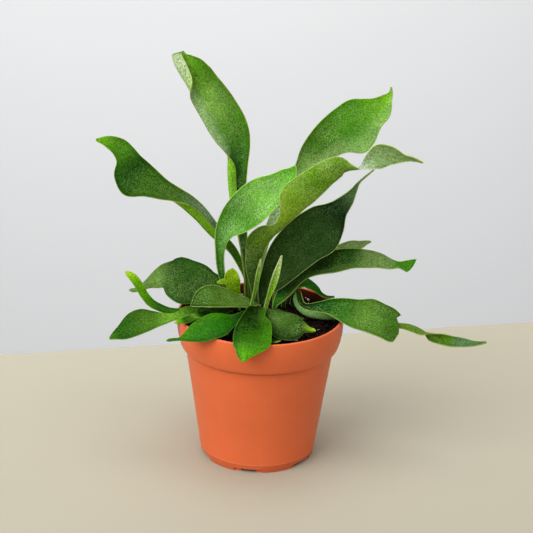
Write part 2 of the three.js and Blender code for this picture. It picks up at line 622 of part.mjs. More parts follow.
/** The two points of a blade's upper and lower side, at a share along it and a place across. */
function bladePoints(line, face, blade, share, across) {
  const { curls = [1, 1], waves = [0, 1, 0], round = 0, tip = [0, 0] } = blade;
  const distance = share * line.length + spread(tip, across) * share ** 4;
  const [row, slope] = line.sample(distance);
  const side = across < 0 ? -1 : 1;
  const half = halfWidth(side < 0 ? row[3] : row[4], distance, line.length, round);
  const along = new THREE.Vector3(...slope.slice(0, 3)).normalize();
  const up = new THREE.Vector3(...face);
  up.addScaledVector(along, -up.dot(along)).normalize();
  up.applyAxisAngle(along, THREE.MathUtils.degToRad(row[5]));
  const right = new THREE.Vector3().crossVectors(along, up);
  const out = Math.abs(across);
  const curl = row[6] * (side < 0 ? curls[0] : curls[1]);
  const fold = Math.max(0, -side * row[7]);
  const bend = turnAt(out, curl, fold);
  const [sideways, lift] = bentHalf(out, curl, fold);
  const normal = up.clone().multiplyScalar(Math.cos(bend))
    .addScaledVector(right, -side * Math.sin(bend));
  const phase = waves[2] + (side > 0 ? 1.7 : 0);
  const wave = waves[0] * out ** 2 * Math.sin(2 * Math.PI * waves[1] * share + phase)
    * Math.min(1, half / 6) * Math.min(1, 4 * share);
  const middle = new THREE.Vector3(row[0], row[1], row[2])
    .addScaledVector(right, side * sideways * half)
    .addScaledVector(up, lift * half)
    .addScaledVector(normal, wave);
  const stalk = stalkThickening * Math.max(0, 1 - distance / stalkLength) * (blade.rooted ? 1 : 0);
  const full = edgeThickness + (ribThickness + stalk - edgeThickness) * (1 - out ** 2);
  const thick = Math.max(leastThickness, full * Math.min(1, 0.45 + 0.275 * half));
  return [middle.clone().addScaledVector(normal, thick / 2),
    middle.clone().addScaledVector(normal, -thick / 2)];
}

/** One blade as a closed geometry: two sheets split into triangles alike, joined at the edge. */
function bladeGeometry(blade, face) {
  const [steps, widths] = blade.grid;
  const line = new SmoothRows(blade.rows);
  const upper = [];
  const lower = [];
  for (let i = 0; i <= steps; i += 1) {
    for (let j = 0; j <= widths; j += 1) {
      const [top, bottom] = bladePoints(line, face, blade, i / steps, (2 * j) / widths - 1);
      upper.push(...top.toArray());
      lower.push(...bottom.toArray());
    }
  }
  const count = (steps + 1) * (widths + 1);
  const place = (i, j) => i * (widths + 1) + j;
  const index = [];
  for (let i = 0; i < steps; i += 1) {
    for (let j = 0; j < widths; j += 1) {
      const [a, b, c, d] = [place(i, j), place(i, j + 1), place(i + 1, j + 1), place(i + 1, j)];
      index.push(a, b, c, a, c, d);
      index.push(a + count, c + count, b + count, a + count, d + count, c + count);
    }
  }
  const rim = [];
  for (let j = 0; j < widths; j += 1) {
    rim.push(place(0, j));
  }
  for (let i = 0; i < steps; i += 1) {
    rim.push(place(i, widths));
  }
  for (let j = widths; j > 0; j -= 1) {
    rim.push(place(steps, j));
  }
  for (let i = steps; i > 0; i -= 1) {
    rim.push(place(i, 0));
  }
  rim.forEach((a, n) => {
    const b = rim[(n + 1) % rim.length];
    index.push(a, a + count, b + count, a, b + count, b);
  });
  const geometry = new THREE.BufferGeometry();
  geometry.setAttribute('position', new THREE.Float32BufferAttribute([...upper, ...lower], 3));
  geometry.setIndex(index);
  return geometry;
}

/** A frond with its lobes: the first blade has the stalk that stands in the potting mix. */
function makeFrond({ root, roll, face, blades }) {
  const [x, y] = root;
  const stalk = [
    [x, y, stalkFoot, stalkRadius, stalkRadius, roll, 0],
    [x, y, stalkStraight, stalkRadius, stalkRadius, roll, 0],
    [x, y, stalkTop, stalkRadius, stalkRadius, roll, stalkCurl],
  ];
  const [first, ...lobes] = blades;
  const main = { ...first, rooted: true, rows: [...stalk, ...first.rows] };
  let solid = solidFrom(bladeGeometry(main, face));
  for (const lobe of lobes) {
    solid = solid.add(solidFrom(bladeGeometry(lobe, face)));
  }
  return geometryFrom(solid);
}

// ---------------------------------------------------------------- the object

function addMesh(group, name, geometry, colour, roughness) {
  const material = new THREE.MeshStandardMaterial({ color: colour, roughness, metalness: 0 });
  const mesh = new THREE.Mesh(geometry, material);
  mesh.name = name;
  group.add(mesh);
}

const plant = new THREE.Group();
addMesh(plant, 'pot', makePot(), 0xcf5f33, 0.5);
addMesh(plant, 'potting_mix', makePottingMix(), 0x2a1f18, 0.95);
for (const frond of fronds) {
  addMesh(plant, frond.name, makeFrond(frond), frond.colour, 0.6);
}

export default plant;
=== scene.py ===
"""A young staghorn fern in a moulded plastic pot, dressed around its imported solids.

Sizes are in millimetres until a mesh is made, and +Z is up. The plant is seen from -Y.
"""

from __future__ import annotations

import logging
import math
from collections.abc import Iterator
from dataclasses import dataclass, field
from enum import Enum
from functools import cached_property
from typing import Any

import bmesh
import bpy
import numpy as np
from mathutils import Matrix, Vector, noise

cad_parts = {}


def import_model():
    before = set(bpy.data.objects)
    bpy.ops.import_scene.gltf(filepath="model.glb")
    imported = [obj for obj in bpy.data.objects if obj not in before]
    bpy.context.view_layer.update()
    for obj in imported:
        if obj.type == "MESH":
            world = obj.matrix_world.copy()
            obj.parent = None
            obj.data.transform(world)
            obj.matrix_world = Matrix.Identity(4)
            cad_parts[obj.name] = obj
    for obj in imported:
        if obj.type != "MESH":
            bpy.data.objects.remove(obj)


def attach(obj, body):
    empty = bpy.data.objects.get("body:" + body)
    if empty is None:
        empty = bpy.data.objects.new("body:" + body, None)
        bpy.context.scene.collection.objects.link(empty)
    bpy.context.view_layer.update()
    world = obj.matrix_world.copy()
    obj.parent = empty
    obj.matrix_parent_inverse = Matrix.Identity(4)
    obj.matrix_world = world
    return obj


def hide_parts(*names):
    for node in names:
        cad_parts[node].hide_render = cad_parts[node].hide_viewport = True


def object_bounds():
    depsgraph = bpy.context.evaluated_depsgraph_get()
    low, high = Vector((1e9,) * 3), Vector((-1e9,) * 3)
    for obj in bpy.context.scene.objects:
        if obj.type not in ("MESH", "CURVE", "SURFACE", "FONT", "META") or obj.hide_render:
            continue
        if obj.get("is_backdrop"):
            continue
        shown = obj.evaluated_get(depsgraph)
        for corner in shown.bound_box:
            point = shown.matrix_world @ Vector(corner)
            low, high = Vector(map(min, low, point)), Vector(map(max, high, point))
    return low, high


log = logging.getLogger("fern")

MM = 0.001
BODY = "root"
Colour = tuple[float, float, float]
Point = tuple[float, float, float]
Row = tuple[float, ...]
Profile = list[tuple[float, float]]
Ramp = tuple[tuple[float, Colour], ...]


def paint(red: int, green: int, blue: int) -> Colour:
    """Gives the linear colour of a paint that is named by its display values.

    Args:
        red: Red from 0 to 255.
        green: Green from 0 to 255.
        blue: Blue from 0 to 255.

    Returns:
        The same colour in the values that a shader takes.
    """
    shares = (value / 255 for value in (red, green, blue))
    linear = [s / 12.92 if s <= 0.04045 else ((s + 0.055) / 1.055) ** 2.4 for s in shares]
    return linear[0], linear[1], linear[2]


def ramp(*stops: tuple[float, int, int, int]) -> Ramp:
    """Gives a row of paints, each named by its place from 0 to 1 and its display values."""
    return tuple((place, paint(red, green, blue)) for place, red, green, blue in stops)


# ---------------------------------------------------------------- shader building


class Kind(Enum):
    """The kinds of socket that a shared effect has."""

    VALUE = "NodeSocketFloat"
    PLACE = "NodeSocketVector"


class Sum(Enum):
    """The sums that a Math node works out here."""

    PLUS = "ADD"
    LESS = "SUBTRACT"
    TIMES = "MULTIPLY"
    TIMES_PLUS = "MULTIPLY_ADD"
    OVER = "DIVIDE"
    POWER = "POWER"
    ROOT = "SQRT"


class Blend(Enum):
    """The ways of blending two colours."""

    MIX = "MIX"
    SHADE = "MULTIPLY"


class Shader:
    """A node tree, with short ways to add nodes and join them."""

    def __init__(self, tree: bpy.types.NodeTree) -> None:
        """Takes the tree that the nodes go into."""
        self.tree = tree

    def add(self, kind: str, feeds: dict[Any, Any] | None = None, **settings: Any) -> bpy.types.Node:
        """Adds a node.

        Args:
            kind: The node's type name.
            feeds: Values or sockets for its inputs, by input name or number.
            **settings: Values for the node's own properties.

        Returns:
            The new node.
        """
        node = self.tree.nodes.new(kind)
        for key, value in settings.items():
            setattr(node, key, value)
        for key, value in (feeds or {}).items():
            self.feed(node.inputs[key], value)
        return node

    def feed(self, socket: bpy.types.NodeSocket, value: Any) -> None:
        """Joins a socket to another, or sets its own value.

        Args:
            socket: The input to feed.
            value: A socket, a number, a colour or a vector.
        """
        if isinstance(value, bpy.types.NodeSocket):
            self.tree.links.new(value, socket)
            return
        if isinstance(value, tuple) and len(value) == 3 and socket.type == "RGBA":
            value = (*value, 1.0)
        socket.default_value = value

    def sum(self, kind: Sum, first: Any, second: Any = 0.0, clamp: bool = False) -> Any:
        """Works out one sum of two values, kept between 0 and 1 if it is to be clamped."""
        node = self.add("ShaderNodeMath", {0: first, 1: second}, operation=kind.value, use_clamp=clamp)
        return node.outputs[0]

    def times(self, first: Any, second: Any) -> Any:
        """Multiplies two values."""
        return self.sum(Sum.TIMES, first, second)

    def plus(self, first: Any, second: Any) -> Any:
        """Adds two values."""
        return self.sum(Sum.PLUS, first, second)

    def blend(self, share: Any, first: Any, second: Any, how: Blend = Blend.MIX) -> Any:
        """Blends two colours.

        Args:
            share: How much of the second colour shows, from 0 to 1.
            first: The first colour.
            second: The second colour.
            how: The way of blending.

        Returns:
            The blended colour's socket.
        """
        node = self.add("ShaderNodeMix", data_type="RGBA", blend_type=how.value)
        for socket, value in ((0, share), (6, first), (7, second)):
            self.feed(node.inputs[socket], value)
        return node.outputs[2]

    def shade(self, colour: Any, value: Any) -> Any:
        """Multiplies a colour by a value round 1."""
        grey = self.add("ShaderNodeCombineColor", {0: value, 1: value, 2: value}).outputs[0]
        return self.blend(1.0, colour, grey, Blend.SHADE)

    def step(self, value: Any, low: float, high: float) -> Any:
        """Turns a value into a soft step that is 0 at the low one and 1 at the high one."""
        feeds = {"Value": value, "From Min": low, "From Max": high}
        return self.add("ShaderNodeMapRange", feeds, interpolation_type="SMOOTHSTEP").outputs["Result"]

    def band(self, value: Any, low: float, full_from: float, full_to: float, high: float) -> Any:
        """Turns a value into a band that is 1 in its middle and fades to 0 at both ends."""
        return self.times(self.step(value, low, full_from), self.step(value, high, full_to))

    def clouds(self, place: Any, scale: Any, detail: float = 2.0, rough: float = 0.5) -> Any:
        """Adds a cloudy pattern from 0 to 1, of so many clouds for each millimetre."""
        feeds = {"Vector": place, "Scale": scale, "Detail": detail, "Roughness": rough}
        return self.add("ShaderNodeTexNoise", feeds).outputs["Fac"]

    def millimetres(self) -> Any:
        """Gives the socket of the place on the piece, in millimetres."""
        feeds = {0: self.add("ShaderNodeTexCoord").outputs["Object"], 1: (1 / MM,) * 3}
        return self.add("ShaderNodeVectorMath", feeds, operation="MULTIPLY").outputs[0]

    def along(self, place: Any, stops: Ramp) -> Any:
        """Colours a value by a row of paints.

        Args:
            place: The value, from 0 to 1.
            stops: Pairs of a value and the paint there.

        Returns:
            The colour's socket.
        """
        node = self.add("ShaderNodeValToRGB", {0: place})
        node.color_ramp.interpolation = "EASE"
        marks = node.color_ramp.elements
        for index, (position, colour) in enumerate(stops):
            stop = marks[index] if index < 2 else marks.new(position)
            stop.position = position
            stop.color = (*colour, 1.0)
        return node.outputs["Color"]


def start_effect(name: str, takes: dict[str, Kind], gives: dict[str, Kind]) -> tuple[Shader, Any, Any]:
    """Starts a shared effect: a node group with named inputs and outputs.

    Args:
        name: The effect's name.
        takes: Its inputs.
        gives: Its outputs.

    Returns:
        The group's shader, its inputs' sockets and its outputs' sockets.
    """
    tree = bpy.data.node_groups.new(name, "ShaderNodeTree")
    for label, kind in takes.items():
        tree.interface.new_socket(name=label, in_out="INPUT", socket_type=kind.value)
    for label, kind in gives.items():
        tree.interface.new_socket(name=label, in_out="OUTPUT", socket_type=kind.value)
    shader = Shader(tree)
    return shader, shader.add("NodeGroupInput").outputs, shader.add("NodeGroupOutput").inputs


class Effects:
    """The effects that more than one material uses, each built once."""

    @cached_property
    def down(self) -> bpy.types.NodeTree:
        """Fine pale down: specks that lie thicker in some places than in others.

        Returns:
            The effect's node group.
        """
        takes = {"Place": Kind.PLACE, "Amount": Kind.VALUE, "Grain": Kind.VALUE}
        shader, into, out = start_effect("leaf down", takes, {"Mask": Kind.VALUE, "Height": Kind.VALUE})
        specks = shader.step(shader.clouds(into["Place"], into["Grain"], 2.0, 0.6), 0.46, 0.57)
        patches = shader.step(shader.clouds(into["Place"], 0.075, 2.0), 0.3, 0.68)
        thick = shader.sum(Sum.TIMES_PLUS, patches, 0.7)
        thick.node.inputs[2].default_value = 0.3
        mask = shader.sum(Sum.TIMES, shader.times(specks, thick), into["Amount"], clamp=True)
        shader.feed(out["Mask"], mask)
        shader.feed(out["Height"], specks)
        return shader.tree

    @cached_property
    def margin(self) -> bpy.types.NodeTree:
        """A thin line along an edge, a little uneven in its width.

        Returns:
            The effect's node group.
        """
        takes = {"Place": Kind.PLACE, "Distance": Kind.VALUE, "Width": Kind.VALUE}
        shader, into, out = start_effect("leaf margin", takes, {"Mask": Kind.VALUE})
        uneven = shader.times(shader.clouds(into["Place"], 0.35), 1.2)
        reach = shader.sum(Sum.OVER, into["Distance"], shader.times(into["Width"], uneven))
        shader.feed(out["Mask"], shader.step(reach, 1.6, 0.7))
        return shader.tree

    @cached_property
    def mottle(self) -> bpy.types.NodeTree:
        """Clouds round a middle value of 1.

        Returns:
            The effect's node group.
        """
        takes = {"Place": Kind.PLACE, "Scale": Kind.VALUE, "Depth": Kind.VALUE}
        shader, into, out = start_effect("mottle", takes, {"Value": Kind.VALUE})
        clouds = shader.clouds(into["Place"], into["Scale"], 3.0, 0.55)
        centred = shader.times(shader.sum(Sum.LESS, clouds, 0.5), into["Depth"])
        shader.feed(out["Value"], shader.plus(centred, 1.0))
        return shader.tree

    @cached_property
    def veins(self) -> bpy.types.NodeTree:
        """Fine streaks that run up a leaf.

        Returns:
            The effect's node group.
        """
        takes = {"Across": Kind.VALUE, "Along": Kind.VALUE, "Count": Kind.VALUE}
        shader, into, out = start_effect("leaf veins", takes, {"Mask": Kind.VALUE})
        sideways = shader.times(into["Across"], into["Count"])
        upward = shader.times(into["Along"], 5.0)
        place = shader.add("ShaderNodeCombineXYZ", {0: sideways, 1: upward}).outputs[0]
        shader.feed(out["Mask"], shader.step(shader.clouds(place, 1.0, 2.0), 0.42, 0.62))
        return shader.tree


EFFECTS = Effects()


class Surface:
    """A material under way: its shader, its Principled node and the place on the piece."""

    def __init__(self, name: str) -> None:
        """Makes the material and keeps its nodes at hand.

        Args:
            name: The material's name.
        """
        self.material = bpy.data.materials.new(name)
        self.material.use_nodes = True
        tree = self.material.node_tree
        self.shader = Shader(tree)
        self.principled = tree.nodes["Principled BSDF"]
        self.place = self.shader.millimetres()

    def effect(self, tree: bpy.types.NodeTree, **feeds: Any) -> Any:
        """Places a shared effect.

        Args:
            tree: The effect's node group.
            **feeds: Values or sockets for its inputs.

        Returns:
            The outputs of the placed effect.
        """
        node = self.shader.add("ShaderNodeGroup", node_tree=tree)
        for name, value in feeds.items():
            self.shader.feed(node.inputs[name], value)
        return node.outputs

    def mottled(self, scale: float, depth: float) -> Any:
        """Places the mottle and gives its value, of so many clouds for each millimetre and so strong."""
        return self.effect(EFFECTS.mottle, Place=self.place, Scale=scale, Depth=depth)["Value"]

    def constant(self, **values: float) -> None:
        """Sets numbers on the Principled node's own sockets; a name's underscores stand for spaces."""
        for name, value in values.items():
            self.principled.inputs[name.replace("_", " ")].default_value = value

    def finish(self, colour: Any, roughness: Any, height: Any, depth: float) -> bpy.types.Material:
        """Joins colour, roughness and relief to the Principled node.

        Args:
            colour: The base colour.
            roughness: The roughness.
            height: The relief's pattern, from 0 to 1.
            depth: The relief's depth in millimetres.

        Returns:
            The finished material.
        """
        shader = self.shader
        shader.feed(self.principled.inputs["Base Color"], colour)
        shader.feed(self.principled.inputs["Roughness"], roughness)
        bump = shader.add("ShaderNodeBump", {"Height": height, "Distance": depth * MM})
        shader.feed(self.principled.inputs["Normal"], bump.outputs["Normal"])
        return self.material


# ---------------------------------------------------------------- leaf finishes

SIDE_MAP = "blade"       # across and along a blade, each from 0 to 1
EDGE_MAP = "edge"        # distance from the margin, and whether the upper side is meant
EDGE_SPAN = 100.0        # millimetres that the distance's 0 to 1 stands for


@dataclass(frozen=True)
class Tint:
    """A paint that comes in towards one margin, with its strength there."""

    colour: Colour
    strength: float


@dataclass(frozen=True)
class LeafFinish:
    """How one frond looks: its greens from stalk to tip, its down, its margin and its underside.

    The left and right tints lie over the greens; on some fronds they, and stretches of the greens, are
    painted highlight or painted shade. Mottling is given as its clouds for each millimetre and its
    strength, and the bare rim as where the down starts and where it is full.
    """

    greens: Ramp
    unders: Ramp = ramp((0, 110, 140, 60), (1, 132, 158, 82))
    down: Colour = paint(124, 160, 78)
    downy: float = 0.42
    under_downy: float = 0.35
    grain: float = 1.3
    margin: Colour = paint(150, 172, 76)
    margin_width: float = 0.4
    margin_strength: float = 0.7
    roughness: float = 0.5
    shine: float = 0.05
    left: Tint | None = None
    right: Tint | None = None
    left_span: tuple[float, float] = (0.42, 0.05)
    right_span: tuple[float, float] = (0.58, 0.95)
    vein_count: float = 13.0
    vein_depth: float = 0.12
    broad_mottle: tuple[float, float] = (0.06, 0.75)
    fine_mottle: tuple[float, float] = (0.95, 2.7)
    bare_rim: tuple[float, float] = (0.4, 3.5)
    hair_roughness: float = 0.3
    relief: float = 0.12

    def material(self, name: str) -> bpy.types.Material:
        """Makes the material of one frond.

        Args:
            name: The frond's name.

        Returns:
            The material, which reads a blade's own maps.
        """
        surface = Surface(name)
        shader, place = surface.shader, surface.place
        blade = shader.add("ShaderNodeUVMap", uv_map=SIDE_MAP).outputs[0]
        edge = shader.add("ShaderNodeUVMap", uv_map=EDGE_MAP).outputs[0]
        across, along = shader.add("ShaderNodeSeparateXYZ", {0: blade}).outputs[0:2]
        near, upper = shader.add("ShaderNodeSeparateXYZ", {0: edge}).outputs[0:2]
        distance = shader.times(near, EDGE_SPAN)
        green = shader.along(along, self.greens)
        for tint, span in ((self.left, self.left_span), (self.right, self.right_span)):
            if tint:
                share = shader.times(shader.step(across, *span), tint.strength)
                green = shader.blend(share, green, tint.colour)
        veins = surface.effect(EFFECTS.veins, Across=across, Along=along, Count=self.vein_count)["Mask"]
        uneven = shader.times(surface.mottled(*self.broad_mottle), surface.mottled(*self.fine_mottle))
        streaks = shader.sum(Sum.LESS, 1 + self.vein_depth / 2, shader.times(veins, self.vein_depth))
        streaked = shader.times(uneven, streaks)
        amount = shader.times(shader.step(distance, *self.bare_rim), self.downy)
        down = surface.effect(EFFECTS.down, Place=place, Amount=amount, Grain=self.grain)
        top = shader.blend(down["Mask"], shader.shade(green, streaked), self.down)
        hairs = surface.effect(EFFECTS.down, Place=place, Amount=self.under_downy, Grain=self.grain)
        under = shader.along(along, self.unders)
        below = shader.blend(hairs["Mask"], shader.shade(under, uneven), self.down)
        colour = shader.blend(shader.step(upper, 0.35, 0.65), below, top)
        line = surface.effect(EFFECTS.margin, Place=place, Distance=distance, Width=self.margin_width)
        colour = shader.blend(shader.times(line["Mask"], self.margin_strength), colour, self.margin)
        rough = shader.plus(shader.times(down["Mask"], self.hair_roughness), self.roughness)
        height = shader.plus(shader.times(down["Height"], 0.5), shader.times(veins, 0.5))
        surface.constant(Specular_IOR_Level=self.shine)
        return surface.finish(colour, rough, height, self.relief)


# ---------------------------------------------------------------- blades


class SmoothRows:
    """A smooth line through rows of numbers, as far apart as their first three say."""

    def __init__(self, rows: np.ndarray) -> None:
        """Takes the rows and works out the slope at each.

        Args:
            rows: One row of numbers for each place on the line.
        """
        self.rows = rows
        gaps = np.linalg.norm(np.diff(rows[:, :3], axis=0), axis=1)
        self.gaps = gaps[:, None]
        self.at = np.concatenate([[0.0], np.cumsum(gaps)])
        self.length = float(self.at[-1])
        rise = np.diff(rows, axis=0) / self.gaps
        slopes = np.empty_like(rows)
        before, after = self.gaps[:-1], self.gaps[1:]
        slopes[1:-1] = (rise[:-1] * after + rise[1:] * before) / (before + after)
        slopes[0] = 1.5 * rise[0] - 0.5 * slopes[1]
        slopes[-1] = 1.5 * rise[-1] - 0.5 * slopes[-2]
        self.slopes = slopes

    def sample(self, distance: np.ndarray) -> tuple[np.ndarray, np.ndarray]:
        """Gives rows and slopes along the line, which runs on straight past its end.

        Args:
            distance: Distances along the line.

        Returns:
            A row and a slope for each distance.
        """
        index = np.clip(np.searchsorted(self.at, distance, side="right") - 1, 0, len(self.at) - 2)
        gap = self.gaps[index]
        t = np.clip((distance - self.at[index])[:, None] / gap, 0.0, 1.0)
        past = np.maximum(distance - self.length, 0.0)[:, None]
        first, second = self.rows[index], self.rows[index + 1]
        leave, arrive = self.slopes[index], self.slopes[index + 1]
        value = (
            (2 * t**3 - 3 * t**2 + 1) * first + (t**3 - 2 * t**2 + t) * gap * leave
            + (3 * t**2 - 2 * t**3) * second + (t**3 - t**2) * gap * arrive
        )
        slope = (
            (6 * t**2 - 6 * t) * (first - second) / gap
            + (3 * t**2 - 4 * t + 1) * leave + (3 * t**2 - 2 * t) * arrive
        )
        return value + arrive * past, slope


def unit(vectors: np.ndarray) -> np.ndarray:
    """Gives the vectors in an array's rows their own direction and a length of 1."""
    return vectors / np.maximum(np.linalg.norm(vectors, axis=1, keepdims=True), 1e-9)


FOLD_START = 0.42        # a folded margin turns over between these places across its half
FOLD_END = 0.72


def turn_at(place: np.ndarray, curl: np.ndarray, fold: np.ndarray) -> np.ndarray:
    """Gives a half cross-section's turn in radians, from its rib (0) to its margin (1)."""
    t = np.clip((place - FOLD_START) / (FOLD_END - FOLD_START), 0, 1)
    return np.radians(curl * place + fold * (3 * t**2 - 2 * t**3))


@dataclass
class Blade:
    """One blade or lobe of a frond.

    Each row is a point of its rib (x, y, z), its half width to the left and to the right of the
    rib, seen with the tip up, and its curl up at the edges. A seventh number is its roll about the
    rib. An eighth is the angle that the left margin is folded over by, or the right one where it
    is negative. Angles are in degrees.

    The curls are shares for the left and the right half. The waves are a height, a count and a
    phase. The tip says how far the end reaches out at even places across it, and the shades say
    which part of the finish's greens the blade has. The thickness falls from the rib to the edge,
    and where the blade is narrow, to a share of it that grows with each millimetre of half width.
    """

    rows: list[Row]
    curls: tuple[float, float] = (1.0, 1.0)
    waves: tuple[float, float, float] = (0.0, 1.0, 0.0)
    round_tip: float = 0.0
    tip: tuple[float, ...] = (0.0, 0.0)
    rooted: bool = False
    step: float = 1.5
    across: int = 32
    shades: tuple[float, float] = (0.0, 1.0)
    edge: float = 0.55
    rib: float = 1.35
    stalk_thickening: float = 1.2
    stalk_length: float = 40.0
    ripple: float = 0.25
    bends: int = 24
    least_half: float = 0.3
    least_thickness: float = 0.5
    least_steps: int = 20
    narrow_share: float = 0.45
    narrow_growth: float = 0.275
    base_fade: float = 4.0
    side_phase: float = 1.7
    calm_half: float = 6.0
    calm_share: float = 0.25
    ripple_scale: float = 0.11

    def sheet(self, face: Point) -> tuple[np.ndarray, np.ndarray, np.ndarray]:
        """Works out the blade's two sides.

        Args:
            face: The way that the upper side looks before its own roll.

        Returns:
            The upper points and the lower points, as grids, and a grid of the across, along and
            margin values at each.
        """
        line = SmoothRows(np.array([(*row, 0.0, 0.0)[:8] for row in self.rows], float))
        steps = max(self.least_steps, int(line.length / self.step))
        lines = np.linspace(0, 1, steps + 1), np.linspace(-1, 1, self.across + 1)
        share, v = (grid.ravel() for grid in np.meshgrid(*lines, indexing="ij"))
        reach = np.interp(v, np.linspace(-1, 1, len(self.tip)), self.tip)
        distance = share * line.length + reach * share**4
        row, slope = line.sample(distance)
        half = np.maximum(np.where(v < 0, row[:, 3], row[:, 4]), self.least_half)
        if self.round_tip > 0:
            past = np.clip((distance - line.length + self.round_tip) / self.round_tip, 0.0, None)
            half = np.maximum(half * np.sqrt(np.maximum(0.02, 1 - past**2)), self.least_half)
        middle, normal = self.curl(row, slope, half, share, v, face)
        out = np.abs(v)
        stalk = self.stalk_thickening * np.maximum(0, 1 - distance / self.stalk_length) * self.rooted
        thick = self.edge + (self.rib + stalk - self.edge) * (1 - out**2)
        narrow = np.minimum(1, self.narrow_share + self.narrow_growth * half)
        thick = np.maximum(self.least_thickness, thick * narrow)[:, None]
        end = line.length * (1 - share)
        margin = np.minimum(half * (1 - out), end + 0.25 * half * (1 - out))
        if not self.rooted:
            margin = margin + np.maximum(0.0, self.base_fade - share * line.length) * 2
        shape = (steps + 1, self.across + 1, 3)
        shade = self.shades[0] + (self.shades[1] - self.shades[0]) * share
        marks = np.stack([(v + 1) / 2, shade, margin / EDGE_SPAN], axis=1)
        sides = middle + normal * thick / 2, middle - normal * thick / 2
        return sides[0].reshape(shape), sides[1].reshape(shape), marks.reshape(shape)

    def curl(
        self, row: np.ndarray, slope: np.ndarray, half: np.ndarray, share: np.ndarray, v: np.ndarray,
        face: Point,
    ) -> tuple[np.ndarray, np.ndarray]:
        """Bends the blade's cross-sections up at their edges and waves them.

        Args:
            row: The blade's row at each point.
            slope: The rows' slope at each point.
            half: The half width at each point.
            share: The share along the blade.
            v: The place across it, from -1 to 1.
            face: The way that the upper side looks.

        Returns:
            The middle surface and its normal at each point.
        """
        along = unit(slope[:, :3])
        looks = np.array(face, float)
        flat = unit(looks - (along @ looks)[:, None] * along)
        side = np.cross(along, flat)
        roll = np.radians(row[:, 6])[:, None]
        up = np.cos(roll) * flat + np.sin(roll) * side
        right = np.cos(roll) * side - np.sin(roll) * flat
        out, sign = np.abs(v), np.where(v < 0, -1.0, 1.0)
        curl, fold = row[:, 5] * np.where(v < 0, *self.curls), np.maximum(0, -sign * row[:, 7])
        parts = [turn_at(out * (k + 0.5) / self.bends, curl, fold) for k in range(self.bends)]
        sideways = half * out * np.mean(np.cos(parts), axis=0)
        lift = half * out * np.mean(np.sin(parts), axis=0)
        bend = turn_at(out, curl, fold)
        normal = np.cos(bend)[:, None] * up - (sign * np.sin(bend))[:, None] * right
        height, count, phase = self.waves
        late = np.where(v > 0, self.side_phase, 0)
        wave = height * out**2 * np.sin(2 * np.pi * count * share + phase + late)
        middle = row[:, :3] + (sign * sideways)[:, None] * right + lift[:, None] * up
        calm = np.minimum(1, half / self.calm_half) * np.minimum(1, share / self.calm_share)
        wave = (wave + self.ripples(middle)) * calm
        return middle + wave[:, None] * normal, normal

    def ripples(self, points: np.ndarray) -> np.ndarray:
        """Gives a leaf's own small unevenness, a height at each place, in millimetres."""
        heights = [noise.noise(Vector(point) * self.ripple_scale) for point in points]
        return np.array(heights) * self.ripple

    def mesh(self, name: str, face: Point) -> bpy.types.Mesh:
        """Makes the blade's closed mesh, with the maps that its material reads.

        Args:
            name: The mesh's name.
            face: The way that the upper side looks.

        Returns:
            The mesh, in metres.
        """
        upper, lower, marks = self.sheet(face)
        count = upper.shape[0] * upper.shape[1]
        index = np.arange(count).reshape(upper.shape[:2])
        a, b, c, d = index[:-1, :-1], index[:-1, 1:], index[1:, 1:], index[1:, :-1]
        tops = np.stack([a, b, c, d], axis=-1).reshape(-1, 4)
        rim = [*index[0, :-1], *index[:-1, -1], *index[-1, :0:-1], *index[:0:-1, 0]]
        rims = [(i, i + count, j + count, j) for i, j in zip(rim, rim[1:] + rim[:1])]
        faces = [*tops.tolist(), *(tops[:, ::-1] + count).tolist(), *rims]
        points = np.concatenate([upper.reshape(-1, 3), lower.reshape(-1, 3)]) * MM
        mesh = bpy.data.meshes.new(name)
        mesh.from_pydata(points.tolist(), [], faces)
        corners = np.empty(len(mesh.loops), int)
        mesh.loops.foreach_get("vertex_index", corners)
        values = np.concatenate([marks.reshape(-1, 3)] * 2)
        is_upper = (np.arange(2 * count) < count).astype(float)
        maps = {SIDE_MAP: values[:, :2], EDGE_MAP: np.stack([values[:, 2], is_upper], 1)}
        for label, pair in maps.items():
            layer = mesh.uv_layers.new(name=label)
            layer.uv.foreach_set("vector", pair[corners].astype(np.float32).ravel())
        return mesh


def link_piece(name: str, mesh: bpy.types.Mesh, slot: str, *nodes: str) -> bpy.types.Object:
    """Puts a finished mesh into the scene as a piece of the plant.

    Args:
        name: The piece's name.
        mesh: Its mesh, in metres.
        slot: The record's material slot; not used.
        *nodes: The CAD nodes that the piece stands for.

    Returns:
        The new object.
    """
    piece = bpy.data.objects.new(name, mesh)
    bpy.context.scene.collection.objects.link(piece)
    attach(piece, BODY)
    if nodes:
        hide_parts(*nodes)
    return piece


class Slot(Enum):
    """The record's material slots."""

    POT = "pot_plastic"
    MIX = "potting_mix"
    FROND = "frond"
    YOUNG = "frond_young"
    OLIVE = "frond_olive"
    DARK = "frond_dark"


class Joint(Enum):
    """What one mesh does to another."""

    GROWN = "UNION"
    CUT = "DIFFERENCE"


def combine(first: bpy.types.Mesh, second: bpy.types.Mesh, how: Joint) -> bpy.types.Mesh:
    """Joins one closed mesh to another, or cuts it away.

    Args:
        first: The mesh that is kept.
        second: The mesh that is joined or cut away.
        how: Which of the two it is.

    Returns:
        The new mesh.
    """
    scene = bpy.context.scene.collection
    body, tool = (bpy.data.objects.new(mesh.name, mesh) for mesh in (first, second))
    scene.objects.link(body)
    scene.objects.link(tool)
    step = body.modifiers.new(how.value, "BOOLEAN")
    step.operation = how.value
    step.object = tool
    step.solver = "EXACT"
    graph = bpy.context.evaluated_depsgraph_get()
    made = bpy.data.meshes.new_from_object(body.evaluated_get(graph))
    made.name = first.name
    for thing in (body, tool):
        bpy.data.objects.remove(thing)
    return made


def smooth(mesh: bpy.types.Mesh, degrees: float) -> None:
    """Shades a mesh smooth, apart from edges that turn by more than an angle."""
    mesh.polygons.foreach_set("use_smooth", [True] * len(mesh.polygons))
    mesh.set_sharp_from_angle(angle=math.radians(degrees))


